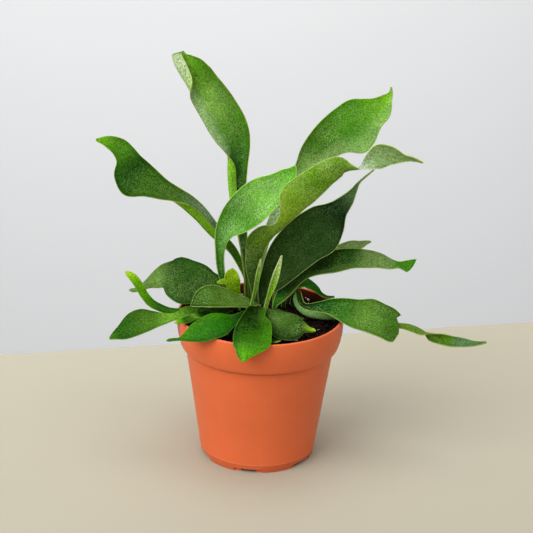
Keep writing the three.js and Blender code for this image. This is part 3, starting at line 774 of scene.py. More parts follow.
@dataclass
class Frond:
    """A grown frond: a blade on its stalk, with its lobes.

    The stalk starts at the root inside the potting mix and goes straight up out of it.
    """

    name: str
    slot: Slot
    root: tuple[float, float]
    face: Point
    blades: list[Blade]
    finish: LeafFinish
    roll: float = 0.0
    stalk_radius: float = 1.6
    stalk_heights: tuple[float, float, float] = (86.0, 94.0, 98.0)
    stalk_curls: tuple[float, float, float] = (0.0, 0.0, 30.0)
    sharp_angle: float = 60.0

    def build(self) -> bpy.types.Object:
        """Builds the frond in place of its CAD node.

        Returns:
            The frond's object.
        """
        main, *lobes = self.blades
        heights = zip(self.stalk_heights, self.stalk_curls)
        width = self.stalk_radius, self.stalk_radius
        stalk = [(*self.root, height, *width, curl, self.roll) for height, curl in heights]
        main.rooted = True
        main.rows = [*stalk, *main.rows]
        mesh = main.mesh(f"{self.name}_leaf", self.face)
        for lobe in lobes:
            mesh = combine(mesh, lobe.mesh(f"{self.name}_lobe", self.face), Joint.GROWN)
        mesh.materials.clear()
        mesh.materials.append(self.finish.material(self.name))
        smooth(mesh, self.sharp_angle)
        return link_piece(f"{self.name}_leaf", mesh, self.slot.value, self.name)


# ---------------------------------------------------------------- pot


@dataclass(frozen=True)
class PotPlastic:
    """Satin moulded plastic with a little dust and some scuffs.

    Mottling is given as its clouds for each millimetre and its strength. Heights and radii say where the
    painted shade on the inner wall, the mould line, the painted shade under the collar and the dust are.
    """

    colour: Colour = paint(225, 107, 61)
    worn: Colour = paint(214, 124, 84)
    dust: Colour = paint(150, 110, 84)
    # painted shade: the near black of the inner wall above the mix, where the fronds shade it
    inner_shade: Colour = paint(46, 13, 8)
    mould_line: Colour = paint(240, 150, 112)
    # painted shade: the dark band just under the collar's edge
    collar_shade: Colour = paint(132, 52, 26)
    worn_share: float = 0.3
    dust_share: float = 0.35
    inner_shade_share: float = 0.92
    mould_line_share: float = 0.25
    collar_shade_share: float = 0.5
    broad_mottle: tuple[float, float] = (0.03, 0.16)
    fine_mottle: tuple[float, float] = (0.6, 0.07)
    inner_radius: float = 52.9
    lip_height: float = 97.4
    mix_height: float = 85.0
    mould_line_height: float = 5.1
    collar_edge: float = 76.2
    dust_height: float = 9.0
    roughness: float = 0.42
    scuff_roughness: float = 0.12
    specular: float = 0.16
    relief: float = 0.03

    def material(self) -> bpy.types.Material:
        """Makes the pot's material.

        Returns:
            The material.
        """
        surface = Surface("pot plastic")
        shader, place = surface.shader, surface.place
        mottle = shader.times(surface.mottled(*self.broad_mottle), surface.mottled(*self.fine_mottle))
        colour = shader.shade(self.colour, mottle)
        scuffs = shader.step(shader.clouds(place, 0.12, 6.0, 0.65), 0.56, 0.72)
        colour = shader.blend(shader.times(scuffs, self.worn_share), colour, self.worn)
        wide, deep, height = shader.add("ShaderNodeSeparateXYZ", {0: place}).outputs[0:3]
        squares = shader.plus(shader.sum(Sum.POWER, wide, 2.0), shader.sum(Sum.POWER, deep, 2.0))
        inward = shader.step(shader.sum(Sum.ROOT, squares), self.inner_radius + 0.2, self.inner_radius)
        inside = shader.times(inward, shader.step(height, self.lip_height, self.lip_height - 1))
        # painted shade: the inner wall between the mix and the lip is darkened to near black
        inner_shade_band = shader.times(inside, shader.step(height, self.mix_height, self.mix_height + 1))
        colour = shader.blend(shader.times(inner_shade_band, self.inner_shade_share), colour, self.inner_shade)
        low = self.mould_line_height
        line = shader.band(height, low, low + 0.4, low + 0.7, low + 1.1)
        colour = shader.blend(shader.times(line, self.mould_line_share), colour, self.mould_line)
        # painted shade: a dark band under the collar's edge, for the shade under its ledge
        high = self.collar_edge
        collar_shade_band = shader.band(height, high - 2.4, high - 0.6, high, high + 0.2)
        colour = shader.blend(shader.times(collar_shade_band, self.collar_shade_share), colour, self.collar_shade)
        settled = shader.times(shader.step(height, self.dust_height, 0.0), self.dust_share)
        specks = shader.step(shader.clouds(place, 0.9, 3.0, 0.7), 0.5, 0.75)
        colour = shader.blend(shader.times(settled, specks), colour, self.dust)
        rough = shader.plus(shader.times(scuffs, self.scuff_roughness), self.roughness)
        surface.constant(Specular_IOR_Level=self.specular)
        return surface.finish(colour, rough, shader.clouds(place, 1.4), self.relief)


@dataclass
class GrowersPot:
    """A moulded grower's pot with a collar, a foot ring with notches and a raised floor."""

    height: float = 97.6
    rim_radius: float = 54.0
    foot_radius: float = 37.6
    taper: float = 0.144
    wall: float = 1.3
    collar_radius: float = 51.2
    collar_height: float = 76.6
    shoulder_height: float = 76.0
    ledge_height: float = 77.2
    floor_height: float = 3.2
    floor_thickness: float = 1.6
    foot_ring: float = 1.7
    ring_gap: float = 1.1
    inner_ring: float = 1.2
    notch_turn: float = -8.0
    notch_width: float = 18.6
    notch_height: float = 2.6
    drain_width: float = 9.2
    notches: int = 6
    notch_overlap: tuple[float, float] = (0.3, 2.0)
    drain_reach: tuple[float, float] = (8.0, 0.5)
    cutter_spare: float = 1.0
    ring_lift: float = 0.4
    sharp_angle: float = 35.0
    pad_radius: float = 9.0
    sides: int = 192
    plastic: PotPlastic = field(default_factory=PotPlastic)

    def radius(self, height: float) -> float:
        """Gives the body's outer radius at a height below the shoulder."""
        return self.foot_radius + self.taper * height

    def outside(self) -> Profile:
        """Gives the pot's outside, from the foot to the lip, as (radius, height) pairs."""
        shoulder, turn, rim, top = self.shoulder_height, self.collar_radius, self.rim_radius, self.height
        return [
            (self.foot_radius - 0.3, 0.0), (self.foot_radius, 0.35),
            (self.radius(5.0), 5.0), (self.radius(5.6) + 0.22, 5.6),
            *((self.radius(height), height) for height in (6.2, 30.0, 50.0, 73.0)),
            (self.radius(shoulder) - 0.06, shoulder - 0.4), (self.radius(shoulder) + 0.3, shoulder),
            (turn - 1.2, shoulder + 0.04), (turn - 0.5, shoulder + 0.18), (turn, self.collar_height),
            (51.45, 77.1), (51.8, 77.9), (52.6, 80.8), (53.4, 84.5), (53.75, 87.0),
            (rim, 90.0), (rim, top - 1.2), (rim - 0.12, top - 0.55), (rim - 0.4, top - 0.15),
            (rim - 0.75, top),
        ]

    def inside(self) -> Profile:
        """Gives the pot's inside, from the lip down to the floor, as (radius, height) pairs."""
        wall, floor = self.wall, self.floor_height + self.floor_thickness
        rim, top = self.rim_radius - wall, self.height
        return [
            (rim - 0.1, top - 0.15), (rim - 0.35, top - 0.7), (rim, 94.0), (rim, 90.0),
            (53.4 - wall, 84.5), (52.6 - wall, 80.8), (51.7 - wall, 78.6),
            (self.collar_radius - wall - 0.3, 77.8),
            (self.radius(self.shoulder_height) - wall, self.ledge_height),
            (self.radius(floor) - wall, floor),
        ]

    def profile(self) -> Profile:
        """Gives the whole closed profile, which starts and ends on the axis.

        Returns:
            Its (radius, height) pairs.
        """
        ring = self.foot_radius - self.foot_ring
        outer = ring - self.ring_gap
        inner = outer - self.inner_ring
        floor = self.floor_height
        under = [
            (0.0, 0.0), (self.pad_radius, 0.0), (self.pad_radius, floor), (inner, floor),
            (inner, self.ring_lift), (outer, self.ring_lift), (outer, floor), (ring, floor), (ring, 0.0),
        ]
        return [*under, *self.outside(), *self.inside(), (0.0, floor + self.floor_thickness)]

    def build(self) -> bpy.types.Object:
        """Builds the pot in place of its CAD node.

        Returns:
            The pot's object.
        """
        mesh = turned("pot_moulded", self.profile(), self.sides)
        ring, spare = self.foot_radius - self.foot_ring, self.cutter_spare
        notch = ring - self.notch_overlap[0], self.foot_radius + self.notch_overlap[1]
        drain = ring - self.drain_reach[0], ring - self.drain_reach[1]
        through = self.floor_height + self.floor_thickness + spare
        cuts = bmesh.new()
        for index in range(self.notches):
            turn = self.notch_turn + 360 / self.notches * index
            add_box(cuts, *notch, self.notch_width, -spare, self.notch_height, turn)
            add_box(cuts, *drain, self.drain_width, -spare, through, turn)
        tool = bpy.data.meshes.new("notches")
        cuts.to_mesh(tool)
        cuts.free()
        mesh = combine(mesh, tool, Joint.CUT)
        mesh.materials.clear()
        mesh.materials.append(self.plastic.material())
        smooth(mesh, self.sharp_angle)
        return link_piece("pot_moulded", mesh, Slot.POT.value, "pot")


def turned(name: str, profile: Profile, sides: int) -> bpy.types.Mesh:
    """Turns a profile about the Z axis into a closed mesh.

    Args:
        name: The mesh's name.
        profile: (radius, height) pairs in millimetres that start and end on the axis.
        sides: How many sides the mesh has.

    Returns:
        The mesh, in metres.
    """
    made = bmesh.new()
    turns = [2 * math.pi * index / sides for index in range(sides)]
    rings = [
        [made.verts.new((radius * math.cos(t) * MM, radius * math.sin(t) * MM, height * MM))
         for t in (turns if radius else turns[:1])]
        for radius, height in profile
    ]
    for lower, upper in zip(rings, rings[1:]):
        for index in range(sides):
            after = (index + 1) % sides
            places = (lower, index), (lower, after), (upper, after), (upper, index)
            corners = [ring[place % len(ring)] for ring, place in places]
            made.faces.new(list(dict.fromkeys(corners)))
    bmesh.ops.recalc_face_normals(made, faces=made.faces)
    mesh = bpy.data.meshes.new(name)
    made.to_mesh(mesh)
    made.free()
    return mesh


def add_box(
    made: bmesh.types.BMesh, inner: float, outer: float, width: float, low: float, high: float,
    turn: float,
) -> None:
    """Adds a box that reaches out from the axis, turned about it from the front.

    Args:
        made: The mesh under way.
        inner: Distance of its near side from the axis.
        outer: Distance of its far side.
        width: Its width.
        low: Height of its underside.
        high: Height of its top.
        turn: Degrees from the front, positive to the right.
    """
    box = bmesh.ops.create_cube(made, size=1.0)["verts"]
    size = Matrix.Diagonal((width * MM, (outer - inner) * MM, (high - low) * MM, 1))
    place = Matrix.Translation((0, -(inner + outer) / 2 * MM, (low + high) / 2 * MM))
    spin = Matrix.Rotation(math.radians(turn), 4, "Z")
    bmesh.ops.transform(made, verts=box, matrix=spin @ place @ size)


# ---------------------------------------------------------------- potting mix


@dataclass(frozen=True)
class Peat:
    """Damp dark peat, with crumbs of several browns and pale bits of bark."""

    dark: Colour = paint(9, 6, 4)
    brown: Colour = paint(74, 38, 22)
    pale: Colour = paint(196, 178, 150)
    bark_mottle: tuple[float, float] = (0.12, 1.6)
    roughness: float = 0.85
    bark_roughness: float = 0.8
    specular: float = 0.06
    bark_specular: float = 0.25
    relief: float = 0.8
    bark_relief: float = 0.2

    def material(self, name: str, lightness: float) -> bpy.types.Material:
        """Makes the peat's material.

        Args:
            name: The material's name.
            lightness: How much of the paler brown shows, from 0 to 1.

        Returns:
            The material.
        """
        surface = Surface(name)
        shader, place = surface.shader, surface.place
        clods = shader.step(shader.clouds(place, 0.5, 4.0, 0.7), 0.5, 0.66)
        colour = shader.blend(shader.times(clods, lightness), self.dark, self.brown)
        bits = shader.step(shader.clouds(place, 1.3, 2.0, 0.6), 0.7, 0.76)
        colour = shader.blend(shader.times(bits, 0.5), colour, self.pale)
        surface.constant(Specular_IOR_Level=self.specular)
        return surface.finish(colour, self.roughness, shader.clouds(place, 0.9, 6.0, 0.75), self.relief)

    def bark(self) -> bpy.types.Material:
        """Makes the material of the pale bark and fibre bits.

        Returns:
            The material.
        """
        surface = Surface("bark bits")
        shader = surface.shader
        colour = shader.shade(self.pale, surface.mottled(*self.bark_mottle))
        surface.constant(Specular_IOR_Level=self.bark_specular)
        grain = shader.clouds(surface.place, 2.0, 3.0)
        return surface.finish(colour, self.bark_roughness, grain, self.bark_relief)


@dataclass
class PottingMix:
    """The potting mix: a mounded surface with crumbs and bark bits lying on it."""

    edge_height: float = 91.6
    mound_rise: float = 5.2
    mound_spread: float = 22.0
    mound_centre: tuple[float, float] = (-1.0, 9.0)
    clod_height: float = 0.5
    roughness: float = 1.1
    radius: float = 52.4
    sides: int = 180
    rings: int = 58
    crumbs: int = 900
    crumb_sizes: tuple[float, float] = (0.5, 1.7)
    bits: int = 46
    bit_sizes: tuple[float, float] = (0.5, 1.1)
    bit_stretch: float = 2.2
    bare_edge: float = 2.2
    lump_unevenness: float = 0.5
    lump_flatness: float = 0.75
    lump_lean: float = 0.9
    lump_lift: float = 0.3
    rough_scale: float = 0.3
    sharp_angle: float = 80.0
    seed: int = 5
    peat: Peat = field(default_factory=Peat)

    def height(self, x: float, y: float) -> float:
        """Gives the surface's height at a place.

        Args:
            x: How far the place is to the right of the axis.
            y: How far it is behind the axis.

        Returns:
            The height.
        """
        away = math.hypot(x - self.mound_centre[0], y - self.mound_centre[1])
        mound = self.mound_rise * math.exp(-((away / self.mound_spread) ** 2))
        clods = math.sin(x * 0.7 + 1) * math.cos(y * 0.8) + 0.6 * math.sin(x * 0.31 - y * 0.47)
        place = Vector((x * self.rough_scale, y * self.rough_scale, 2.0))
        rough = noise.fractal(place, 0.6, 2.2, 5) * self.roughness
        return self.edge_height + mound + self.clod_height * clods + rough

    def build(self) -> list[bpy.types.Object]:
        """Builds the mix, its crumbs and its bits.

        Returns:
            The pieces.
        """
        draw = np.random.default_rng(self.seed)
        crumbs = self.scatter("potting_mix_crumbs", self.crumbs, self.crumb_sizes, draw, 1.0)
        bits = self.scatter("potting_mix_bits", self.bits, self.bit_sizes, draw, self.bit_stretch)
        parts = (
            (self.surface(), self.peat.material("peat", 0.5), ("potting_mix",)),
            (crumbs, self.peat.material("peat crumbs", 0.8), ()),
            (bits, self.peat.bark(), ()),
        )
        pieces = []
        for mesh, material, nodes in parts:
            mesh.materials.append(material)
            pieces.append(link_piece(mesh.name, mesh, Slot.MIX.value, *nodes))
        return pieces

    def surface(self) -> bpy.types.Mesh:
        """Makes the filling's closed mesh, with a fine uneven top.

        Returns:
            The mesh, in metres.
        """
        floor = [(0.0, 5.1), (36.6, 5.1), (46.9, 77.5), (50.0, 78.9), (self.radius, 88.0)]
        top = [(self.radius * (1 - ring / self.rings), self.edge_height) for ring in range(self.rings)]
        mesh = turned("potting_mix_surface", [*floor, *top, (0.0, self.edge_height)], self.sides)
        for vertex in mesh.vertices:
            if abs(vertex.co.z - self.edge_height * MM) < 1e-6:
                vertex.co.z = self.height(vertex.co.x / MM, vertex.co.y / MM) * MM
        smooth(mesh, self.sharp_angle)
        return mesh

    def scatter(
        self, name: str, count: int, sizes: tuple[float, float], draw: np.random.Generator,
        stretch: float,
    ) -> bpy.types.Mesh:
        """Scatters small broken lumps over the surface.

        Args:
            name: The mesh's name.
            count: How many there are.
            sizes: Their least and largest radius.
            draw: The source of random numbers.
            stretch: How much longer than wide a lump is.

        Returns:
            One mesh with all the lumps.
        """
        made = bmesh.new()
        for _ in range(count):
            away = (self.radius - self.bare_edge) * math.sqrt(draw.random())
            turn = draw.random() * 2 * math.pi
            x, y = away * math.cos(turn), away * math.sin(turn)
            size = sizes[0] + (sizes[1] - sizes[0]) * draw.random() ** 2
            lump = bmesh.ops.create_icosphere(made, subdivisions=1, radius=1.0)["verts"]
            for vertex in lump:
                vertex.co *= 1 - self.lump_unevenness / 2 + self.lump_unevenness * draw.random()
            shape = Matrix.Diagonal((size * stretch * MM, size * MM, size * self.lump_flatness * MM, 1))
            lean = Matrix.Rotation((draw.random() - 0.5) * self.lump_lean, 4, "Y")
            spin = Matrix.Rotation(draw.random() * 2 * math.pi, 4, "Z")
            height = self.height(x, y) + size * self.lump_lift
            place = Matrix.Translation((x * MM, y * MM, height * MM))
            bmesh.ops.transform(made, verts=lump, matrix=place @ spin @ lean @ shape)
        mesh = bpy.data.meshes.new(name)
        made.to_mesh(mesh)
        made.free()
        return mesh


# ---------------------------------------------------------------- the fronds' own values


def fronds() -> list[Frond]:
    """Lists the plant's fronds, each with its shape and its finish."""
    return [*tall_fronds(), *right_fronds(), *left_fronds(), *front_fronds(), *young_fronds()]


def tall_fronds() -> Iterator[Frond]:
    """Gives the fronds that stand up, one by one."""
    yield Frond(
        "frond_tall", Slot.FROND, (-10, 20), (0, -1, 0.2), roll=20,
        # painted shade: the greens' dark stretch from 0.3 to 0.58 and the dark right tint; painted
        # highlight: the pale left tint, a silvery sheen
        finish=LeafFinish(
            greens=ramp((0, 60, 100, 20), (0.3, 6, 60, 0), (0.58, 18, 76, 0), (0.7, 70, 118, 24),
                        (0.8, 106, 148, 56), (0.92, 84, 138, 18), (1, 96, 158, 12)),
            unders=ramp((0, 108, 162, 36), (0.65, 126, 186, 44), (0.85, 148, 182, 98),
                        (0.97, 174, 194, 146)),
            down=paint(140, 172, 104), left=Tint(paint(150, 176, 124), 0.6),
            right=Tint(paint(56, 112, 0), 0.6), under_downy=0.2, margin=paint(150, 150, 50),
        ),
        blades=[Blade(waves=(0.5, 2, 0.5), tip=(1, 2.5, 1, -2, -3), rows=[
            (-11, 21, 124, 2.4, 2.2, 45, 10), (-13.5, 23, 141, 4.2, 3.6, 45, 12, 60),
            (-15.9, 25.5, 157, 8.6, 4.8, 45, 12, 140), (-16.5, 26, 167, 10.8, 5.2, 45, 12, 155),
            (-17, 26.5, 179, 13, 5.9, 40, 12, 158), (-17.8, 27, 189.4, 11.8, 7.4, 32, 10, 125),
            (-19.6, 28, 198, 8.2, 10.3, 25, 8, 35), (-22.4, 29, 206.3, 10.3, 12.8, 20, 6),
            (-26.4, 30.5, 215, 11.8, 13.5, 18, 4), (-31.4, 32, 223.7, 11.8, 13.1, 18, 2),
            (-36.4, 33.5, 231.7, 12.3, 12.3, 18, 0, 25), (-41.3, 34.5, 239.1, 14, 11.2, 20, 0, 75),
            (-45.6, 35, 245.3, 15, 10.8, 22, 0, 145), (-48.8, 35.5, 251.6, 16.5, 8, 25, 0, 162),
            (-51.4, 36, 256.5, 16.5, 2.5, 25, 0, 165), (-52.7, 36, 259, 15.5, 0.5, 25, 0, 165),
        ])],
    )
    yield Frond(
        "frond_left_tail", Slot.FROND, (-8, 26), (0, -0.85, 0.5),
        finish=LeafFinish(
            greens=ramp((0, 80, 120, 30), (0.3, 44, 80, 12), (0.48, 92, 112, 84), (0.6, 46, 76, 16),
                        (0.72, 36, 78, 0), (0.8, 8, 56, 0), (0.9, 56, 108, 2), (1, 84, 138, 2)),
            unders=ramp((0, 90, 136, 10), (0.5, 90, 132, 10), (1, 120, 150, 50)),
            down=paint(110, 146, 66), under_downy=0.2, margin=paint(130, 160, 40),
        ),
        blades=[Blade(waves=(0.5, 2, 1), rows=[
            (-13, 27, 118, 2.2, 1.8, 35), (-20, 28, 130, 4, 3, 40, 0, 60),
            (-27.7, 28, 140.6, 10, 2.2, 40, 0, 140), (-35.6, 29, 149.9, 12.4, 3.4, 40, 0, 155),
            (-42.3, 30, 156.6, 13, 4, 38, 0, 150), (-49.9, 31, 161.5, 10.6, 5, 35, 0, 105),
            (-58.1, 33, 164.3, 6.2, 6.1, 28, 0, 40), (-65.4, 34.5, 167.7, 7.6, 6.6, 22),
            (-73.4, 36, 171.8, 11, 8.4, 18), (-80.7, 37, 176.8, 17.5, 9.4, 14),
            (-86.7, 38, 182.4, 14.5, 9, 12), (-91.3, 39, 188.8, 7, 7.9, 10),
            (-95.9, 40, 193.4, 4.8, 7.4, 8), (-101.8, 40.5, 197.3, 4, 4.5, 5),
            (-110.3, 41, 198.6, 0.8, 0.6, 0),
        ])],
    )
    yield Frond(
        "frond_front_bright", Slot.YOUNG, (-15, 15), (0, -0.95, 0.3),
        finish=LeafFinish(
            greens=ramp((0, 70, 120, 20), (0.35, 48, 114, 8), (0.52, 80, 148, 32), (0.66, 76, 138, 28),
                        (0.82, 112, 176, 56), (1, 88, 160, 26)),
            unders=ramp((0, 110, 150, 60), (1, 150, 190, 96)),
            down=paint(184, 222, 156), downy=0.5, margin=paint(186, 216, 132),
        ),
        blades=[Blade(curls=(0.8, 1.3), waves=(0.6, 2, 0), rows=[
            (-25, 8, 115, 1.6, 2.5, 40), (-27, 3, 127, 2, 3.5, 50), (-27, -2, 141, 3, 5, 60),
            (-26, -5, 150, 4.5, 7, 60), (-23, -8, 157, 7, 8, 50), (-17, -11, 165, 10.5, 11.5, 38),
            (-10, -14, 173, 12, 13, 28), (-3, -16, 180, 12, 12.5, 25), (4, -18, 186, 10.5, 11, 25),
            (11, -20, 193, 6.5, 7, 28), (17, -21, 199, 4, 4, 30), (19, -21, 203, 0.8, 0.5, 30),
        ])],
    )
    yield Frond(
        "frond_olive", Slot.OLIVE, (-5, 13), (0.1, 1, 0.2),
        finish=LeafFinish(
            greens=ramp((0, 80, 120, 40), (0.76, 170, 178, 180), (0.86, 118, 150, 92), (1, 120, 156, 80)),
            unders=ramp((0, 18, 58, 0), (0.22, 40, 80, 0), (0.36, 92, 134, 4), (0.5, 124, 164, 20),
                        (0.64, 92, 144, 0), (0.78, 96, 138, 34), (1, 170, 190, 110)),
            down=paint(180, 198, 128), downy=0.5, under_downy=0.45, margin=paint(200, 212, 130),
        ),
        blades=[Blade(waves=(0.4, 3, 0), rows=[
            (-5, 7, 111, 1.6, 2, 20), (-6, 1, 128, 5, 4.6, 30), (-5.7, -2, 136.8, 6, 5.3, 28),
            (-3.1, -7, 148.2, 7, 6.9, 24), (1.5, -11, 155.7, 6.4, 5.4, 20), (7.7, -15, 160.6, 4.3, 2.7, 20),
            (12.4, -21, 168, 4.9, 2.8, 20), (15.2, -26, 176.2, 8.1, 5.2, 22),
            (18, -29.5, 183.9, 10.9, 8.7, 24), (22.6, -33, 191.5, 12, 8.5, 25),
            (28.3, -36, 198.2, 11.8, 7, 25), (34.6, -38.5, 204.2, 10.9, 6.3, 26),
            (40.4, -40.5, 208, 9.6, 6.4, 28), (45.6, -42, 209.8, 7.9, 5.9, 30, 5),
            (50.9, -43, 209.5, 4.5, 3, 32, 20), (55, -44, 209, 2.6, 2.2, 30, 50),
            (57.9, -44, 209.9, 2, 2, 28, 100), (60.8, -44, 212.4, 3.4, 4.6, 24, 145),
            (64.2, -43.5, 215.1, 5.4, 7, 22, 165), (68.3, -43, 217, 8, 7.6, 24, 172),
            (73, -43, 217.4, 7.2, 6.8, 30, 176), (77.7, -43, 216.7, 5.4, 4.6, 40, 178),
            (82, -42.5, 216, 3.2, 2.8, 50, 180), (86.2, -42, 215.5, 2.2, 1.7, 45, 180),
            (90.4, -41.5, 214.4, 1.3, 1.1, 30, 180), (94.1, -41, 212.9, 0.6, 0.5, 20, 180),
        ])],
    )
    yield Frond(
        "frond_upper_right", Slot.FROND, (-3, 21), (-0.25, -1, 0.3),
        finish=LeafFinish(
            greens=ramp((0, 30, 70, 10), (0.45, 128, 152, 106), (0.56, 88, 122, 52), (0.66, 50, 94, 4),
                        (0.8, 54, 114, 0), (1, 98, 156, 6)),
            down=paint(136, 170, 92), downy=0.42, right=Tint(paint(136, 164, 100), 0.42),
        ),
        blades=[Blade(curls=(1.1, 0.9), waves=(1, 2, 0.8), rows=[
            (-1, 27, 120, 2, 2, 45), (2.2, 31, 136.2, 2.8, 2.8, 45), (9, 34, 154.9, 3.4, 3.6, 45),
            (17, 37, 171.4, 4.2, 4.5, 40), (23.2, 40, 182.3, 4.6, 6.8, 32), (29.5, 43, 191.1, 8.2, 9.3, 28),
            (37.1, 46, 199.3, 10.2, 13.2, 25), (44.8, 50, 205.9, 11.2, 18.2, 22),
            (52.6, 53, 210.7, 12.2, 23.4, 20), (60.4, 56, 214.9, 12.5, 20.7, 20),
            (67.7, 60, 218.1, 9.3, 14.3, 20), (73.7, 63, 221.6, 5.5, 11.8, 22),
            (78.3, 66, 225.1, 3.2, 6.6, 28), (81.6, 68, 228.7, 1, 2.2, 30), (82.3, 69, 232.6, 0.5, 0.5, 30),
        ])],
    )
    yield Frond(
        "frond_dark", Slot.DARK, (0, 16), (0, -0.85, 0.5),
        # painted shade: this frond lies in the shade of the fronds over it, and its greens are painted dark
        # for it
        finish=LeafFinish(
            greens=ramp((0, 32, 64, 10), (0.3, 36, 62, 10), (0.6, 26, 54, 8), (0.72, 6, 32, 0),
                        (0.84, 58, 82, 44), (1, 84, 108, 76)),
            unders=ramp((0, 90, 120, 50), (1, 110, 140, 80)),
            down=paint(88, 116, 68), downy=0.45, margin=paint(150, 172, 104), margin_strength=0.8,
        ),
        blades=[Blade(curls=(1.5, 0.6), waves=(0.8, 2, 2), rows=[
            (1.9, 16, 105.2, 4.8, 4, 45), (6.9, 16, 114.5, 9, 9.6, 45), (12.5, 17, 123.4, 13, 13, 35),
            (19.4, 18, 133, 15.2, 15.4, 25), (27, 19, 141.9, 15, 17.2, 20), (35.2, 20, 149.4, 14, 18.5, 18),
            (42.1, 22, 155.7, 11.3, 14, 18), (47.7, 23, 162.1, 5.8, 8.4, 18),
            (53.3, 24, 168.4, 3.4, 5.9, 20), (57.6, 25.5, 174.1, 1.6, 3.2, 25), (61, 26, 179, 0.9, 1.2, 22),
            (65.7, 28, 182.9, 0.7, 0.7, 22), (70.8, 30, 186.8, 0.5, 0.5, 20),
        ])],
    )


def right_fronds() -> Iterator[Frond]:
    """Gives the fronds that reach to the right, one by one."""
    yield Frond(
        "frond_right_level", Slot.FROND, (9, 9), (0, -0.7, 0.7),
        # painted shadow: the greens' near black stretch from 0.26 to 0.52, where the dark frond's shadow
        # falls
        finish=LeafFinish(
            greens=ramp((0, 50, 124, 6), (0.14, 22, 98, 0), (0.26, 4, 44, 0), (0.52, 4, 42, 0),
                        (0.66, 22, 62, 0), (0.76, 86, 112, 56), (0.88, 92, 122, 62), (0.92, 42, 100, 0),
                        (1, 48, 112, 0)),
            down=paint(110, 142, 66), right=Tint(paint(88, 118, 48), 0.35),
        ),
        blades=[Blade(waves=(0.5, 3, 0), tip=(5, 2.5, -1), rows=[
            (12, 13, 102, 3.6, 4, 45), (18, 18, 108.4, 4.4, 5.5, 40), (27, 21, 116.8, 4.8, 5.5, 35),
            (38, 21, 123, 6, 7, 30), (49, 20, 127, 7.6, 9, 25), (59, 21, 129, 6.5, 8.8, 22),
            (68, 21, 129, 6, 7.6, 20), (77, 20, 128, 5.2, 5.5, 20), (85, 19, 126, 3.5, 4, 25),
            (90, 18, 126, 2.6, 2.6, 15), (93, 17, 126, 3.4, 3.2, 5, 15), (96, 16, 126, 4.4, 4.6, 0, 30),
        ])],
    )
    yield Frond(
        "frond_right_small", Slot.FROND, (9, 23), (0, -0.8, 0.6),
        finish=LeafFinish(
            greens=ramp((0, 58, 80, 32), (0.6, 100, 122, 62), (1, 104, 126, 72)),
        ),
        blades=[Blade(rows=[
            (16, 28, 108, 1.6, 2, 30), (24.1, 29.5, 112.9, 2.1, 3, 28), (34, 33, 119.5, 2.3, 3.6, 25),
            (43.9, 37, 124.7, 2.8, 3.8, 20), (53.1, 40, 128.9, 3, 4.1, 20), (59.9, 43, 130.3, 3, 4.3, 20),
            (66, 45, 130.6, 2, 3.6, 20), (70.1, 46, 131.3, 1.4, 1.5, 20), (72.8, 47, 131.5, 0.6, 0.6, 10),
        ])],
    )
    yield Frond(
        "frond_right_low", Slot.FROND, (21, 22), (0, -0.6, 0.8),
        finish=LeafFinish(
            greens=ramp((0, 40, 80, 14), (0.26, 0, 30, 0), (0.4, 0, 66, 0), (0.5, 30, 86, 0),
                        (0.62, 66, 106, 18), (0.78, 44, 82, 6), (0.84, 72, 106, 0), (0.92, 66, 106, 0),
                        (0.95, 72, 102, 64), (1, 76, 106, 56)),
            unders=ramp((0, 92, 124, 76), (0.5, 84, 116, 60), (0.8, 70, 98, 0), (0.9, 70, 98, 0),
                        (1, 78, 108, 58)),
            down=paint(130, 166, 88), downy=0.45, under_downy=0.3, margin=paint(140, 168, 70),
        ),
        blades=[
            Blade(shades=(0, 0.8), waves=(0.5, 3, 1), tip=(1, -1.5, 1.2, 2, -0.5), rows=[
                (23.7, 20, 103.6, 2.4, 2.6, 60, 0, -40), (24.1, 14, 101, 3.8, 5, 60, 0, -120),
                (26.4, 8, 98.6, 4, 6.4, 60, 0, -128), (30.9, 3, 97.6, 6, 8, 55, 0, -125),
                (37.3, 0, 98, 7.6, 10, 55, 0, -108), (45, -3, 99.6, 9.2, 12.4, 55, 0, -70),
                (53.2, -6, 101.2, 9.8, 12.8, 48, 0, -20), (62, -9, 101.4, 10.4, 12.6, 32),
                (70.3, -11, 100.7, 12.8, 12.6, 18), (78, -12, 99.3, 11.6, 14, 12),
                (84.5, -12, 97.4, 10.2, 15, 8), (88, -12, 96.2, 8, 13.6, 8),
            ]),
            Blade(shades=(0.8, 1), rows=[
                (84, -10.5, 95, 2, 2.2, 20, 170), (91, -12, 95.4, 2, 3, 25, 170),
                (98, -14, 95, 3, 3.6, 35, 165), (104, -17, 94, 3.6, 4.4, 50, 140),
                (109, -19, 93, 4, 4.6, 55, 85), (114, -20, 91, 4, 3.6, 45, 45),
                (121, -22, 90, 3.8, 3.6, 30, 20), (129, -23, 90, 3, 3.4, 25, 10),
                (137, -24, 90, 1.6, 2, 20, 5), (144, -24, 91, 0.7, 0.7, 20),
            ]),
        ],
    )
    yield Frond(
        "frond_back_low", Slot.DARK, (15, 17), (0, -0.5, 0.85),
        finish=LeafFinish(greens=ramp((0, 26, 84, 6), (0.6, 26, 96, 4), (1, 18, 72, 2)), downy=0.1),
        blades=[Blade(rows=[
            (20, 20, 107, 2.6, 3.2, 25), (24.8, 22, 110.2, 4.2, 5, 20), (29.4, 24, 109.7, 4.2, 5.4, 10),
            (33.5, 25, 107.7, 2.8, 4.2, 5), (37, 25.5, 104.6, 2.2, 2.6, 0), (39.7, 26, 101.3, 1.5, 1.9, 0),
            (43.3, 26.4, 99.1, 1.2, 1.4, 0), (49, 26.6, 99, 0.7, 0.8, 0),
        ])],
    )


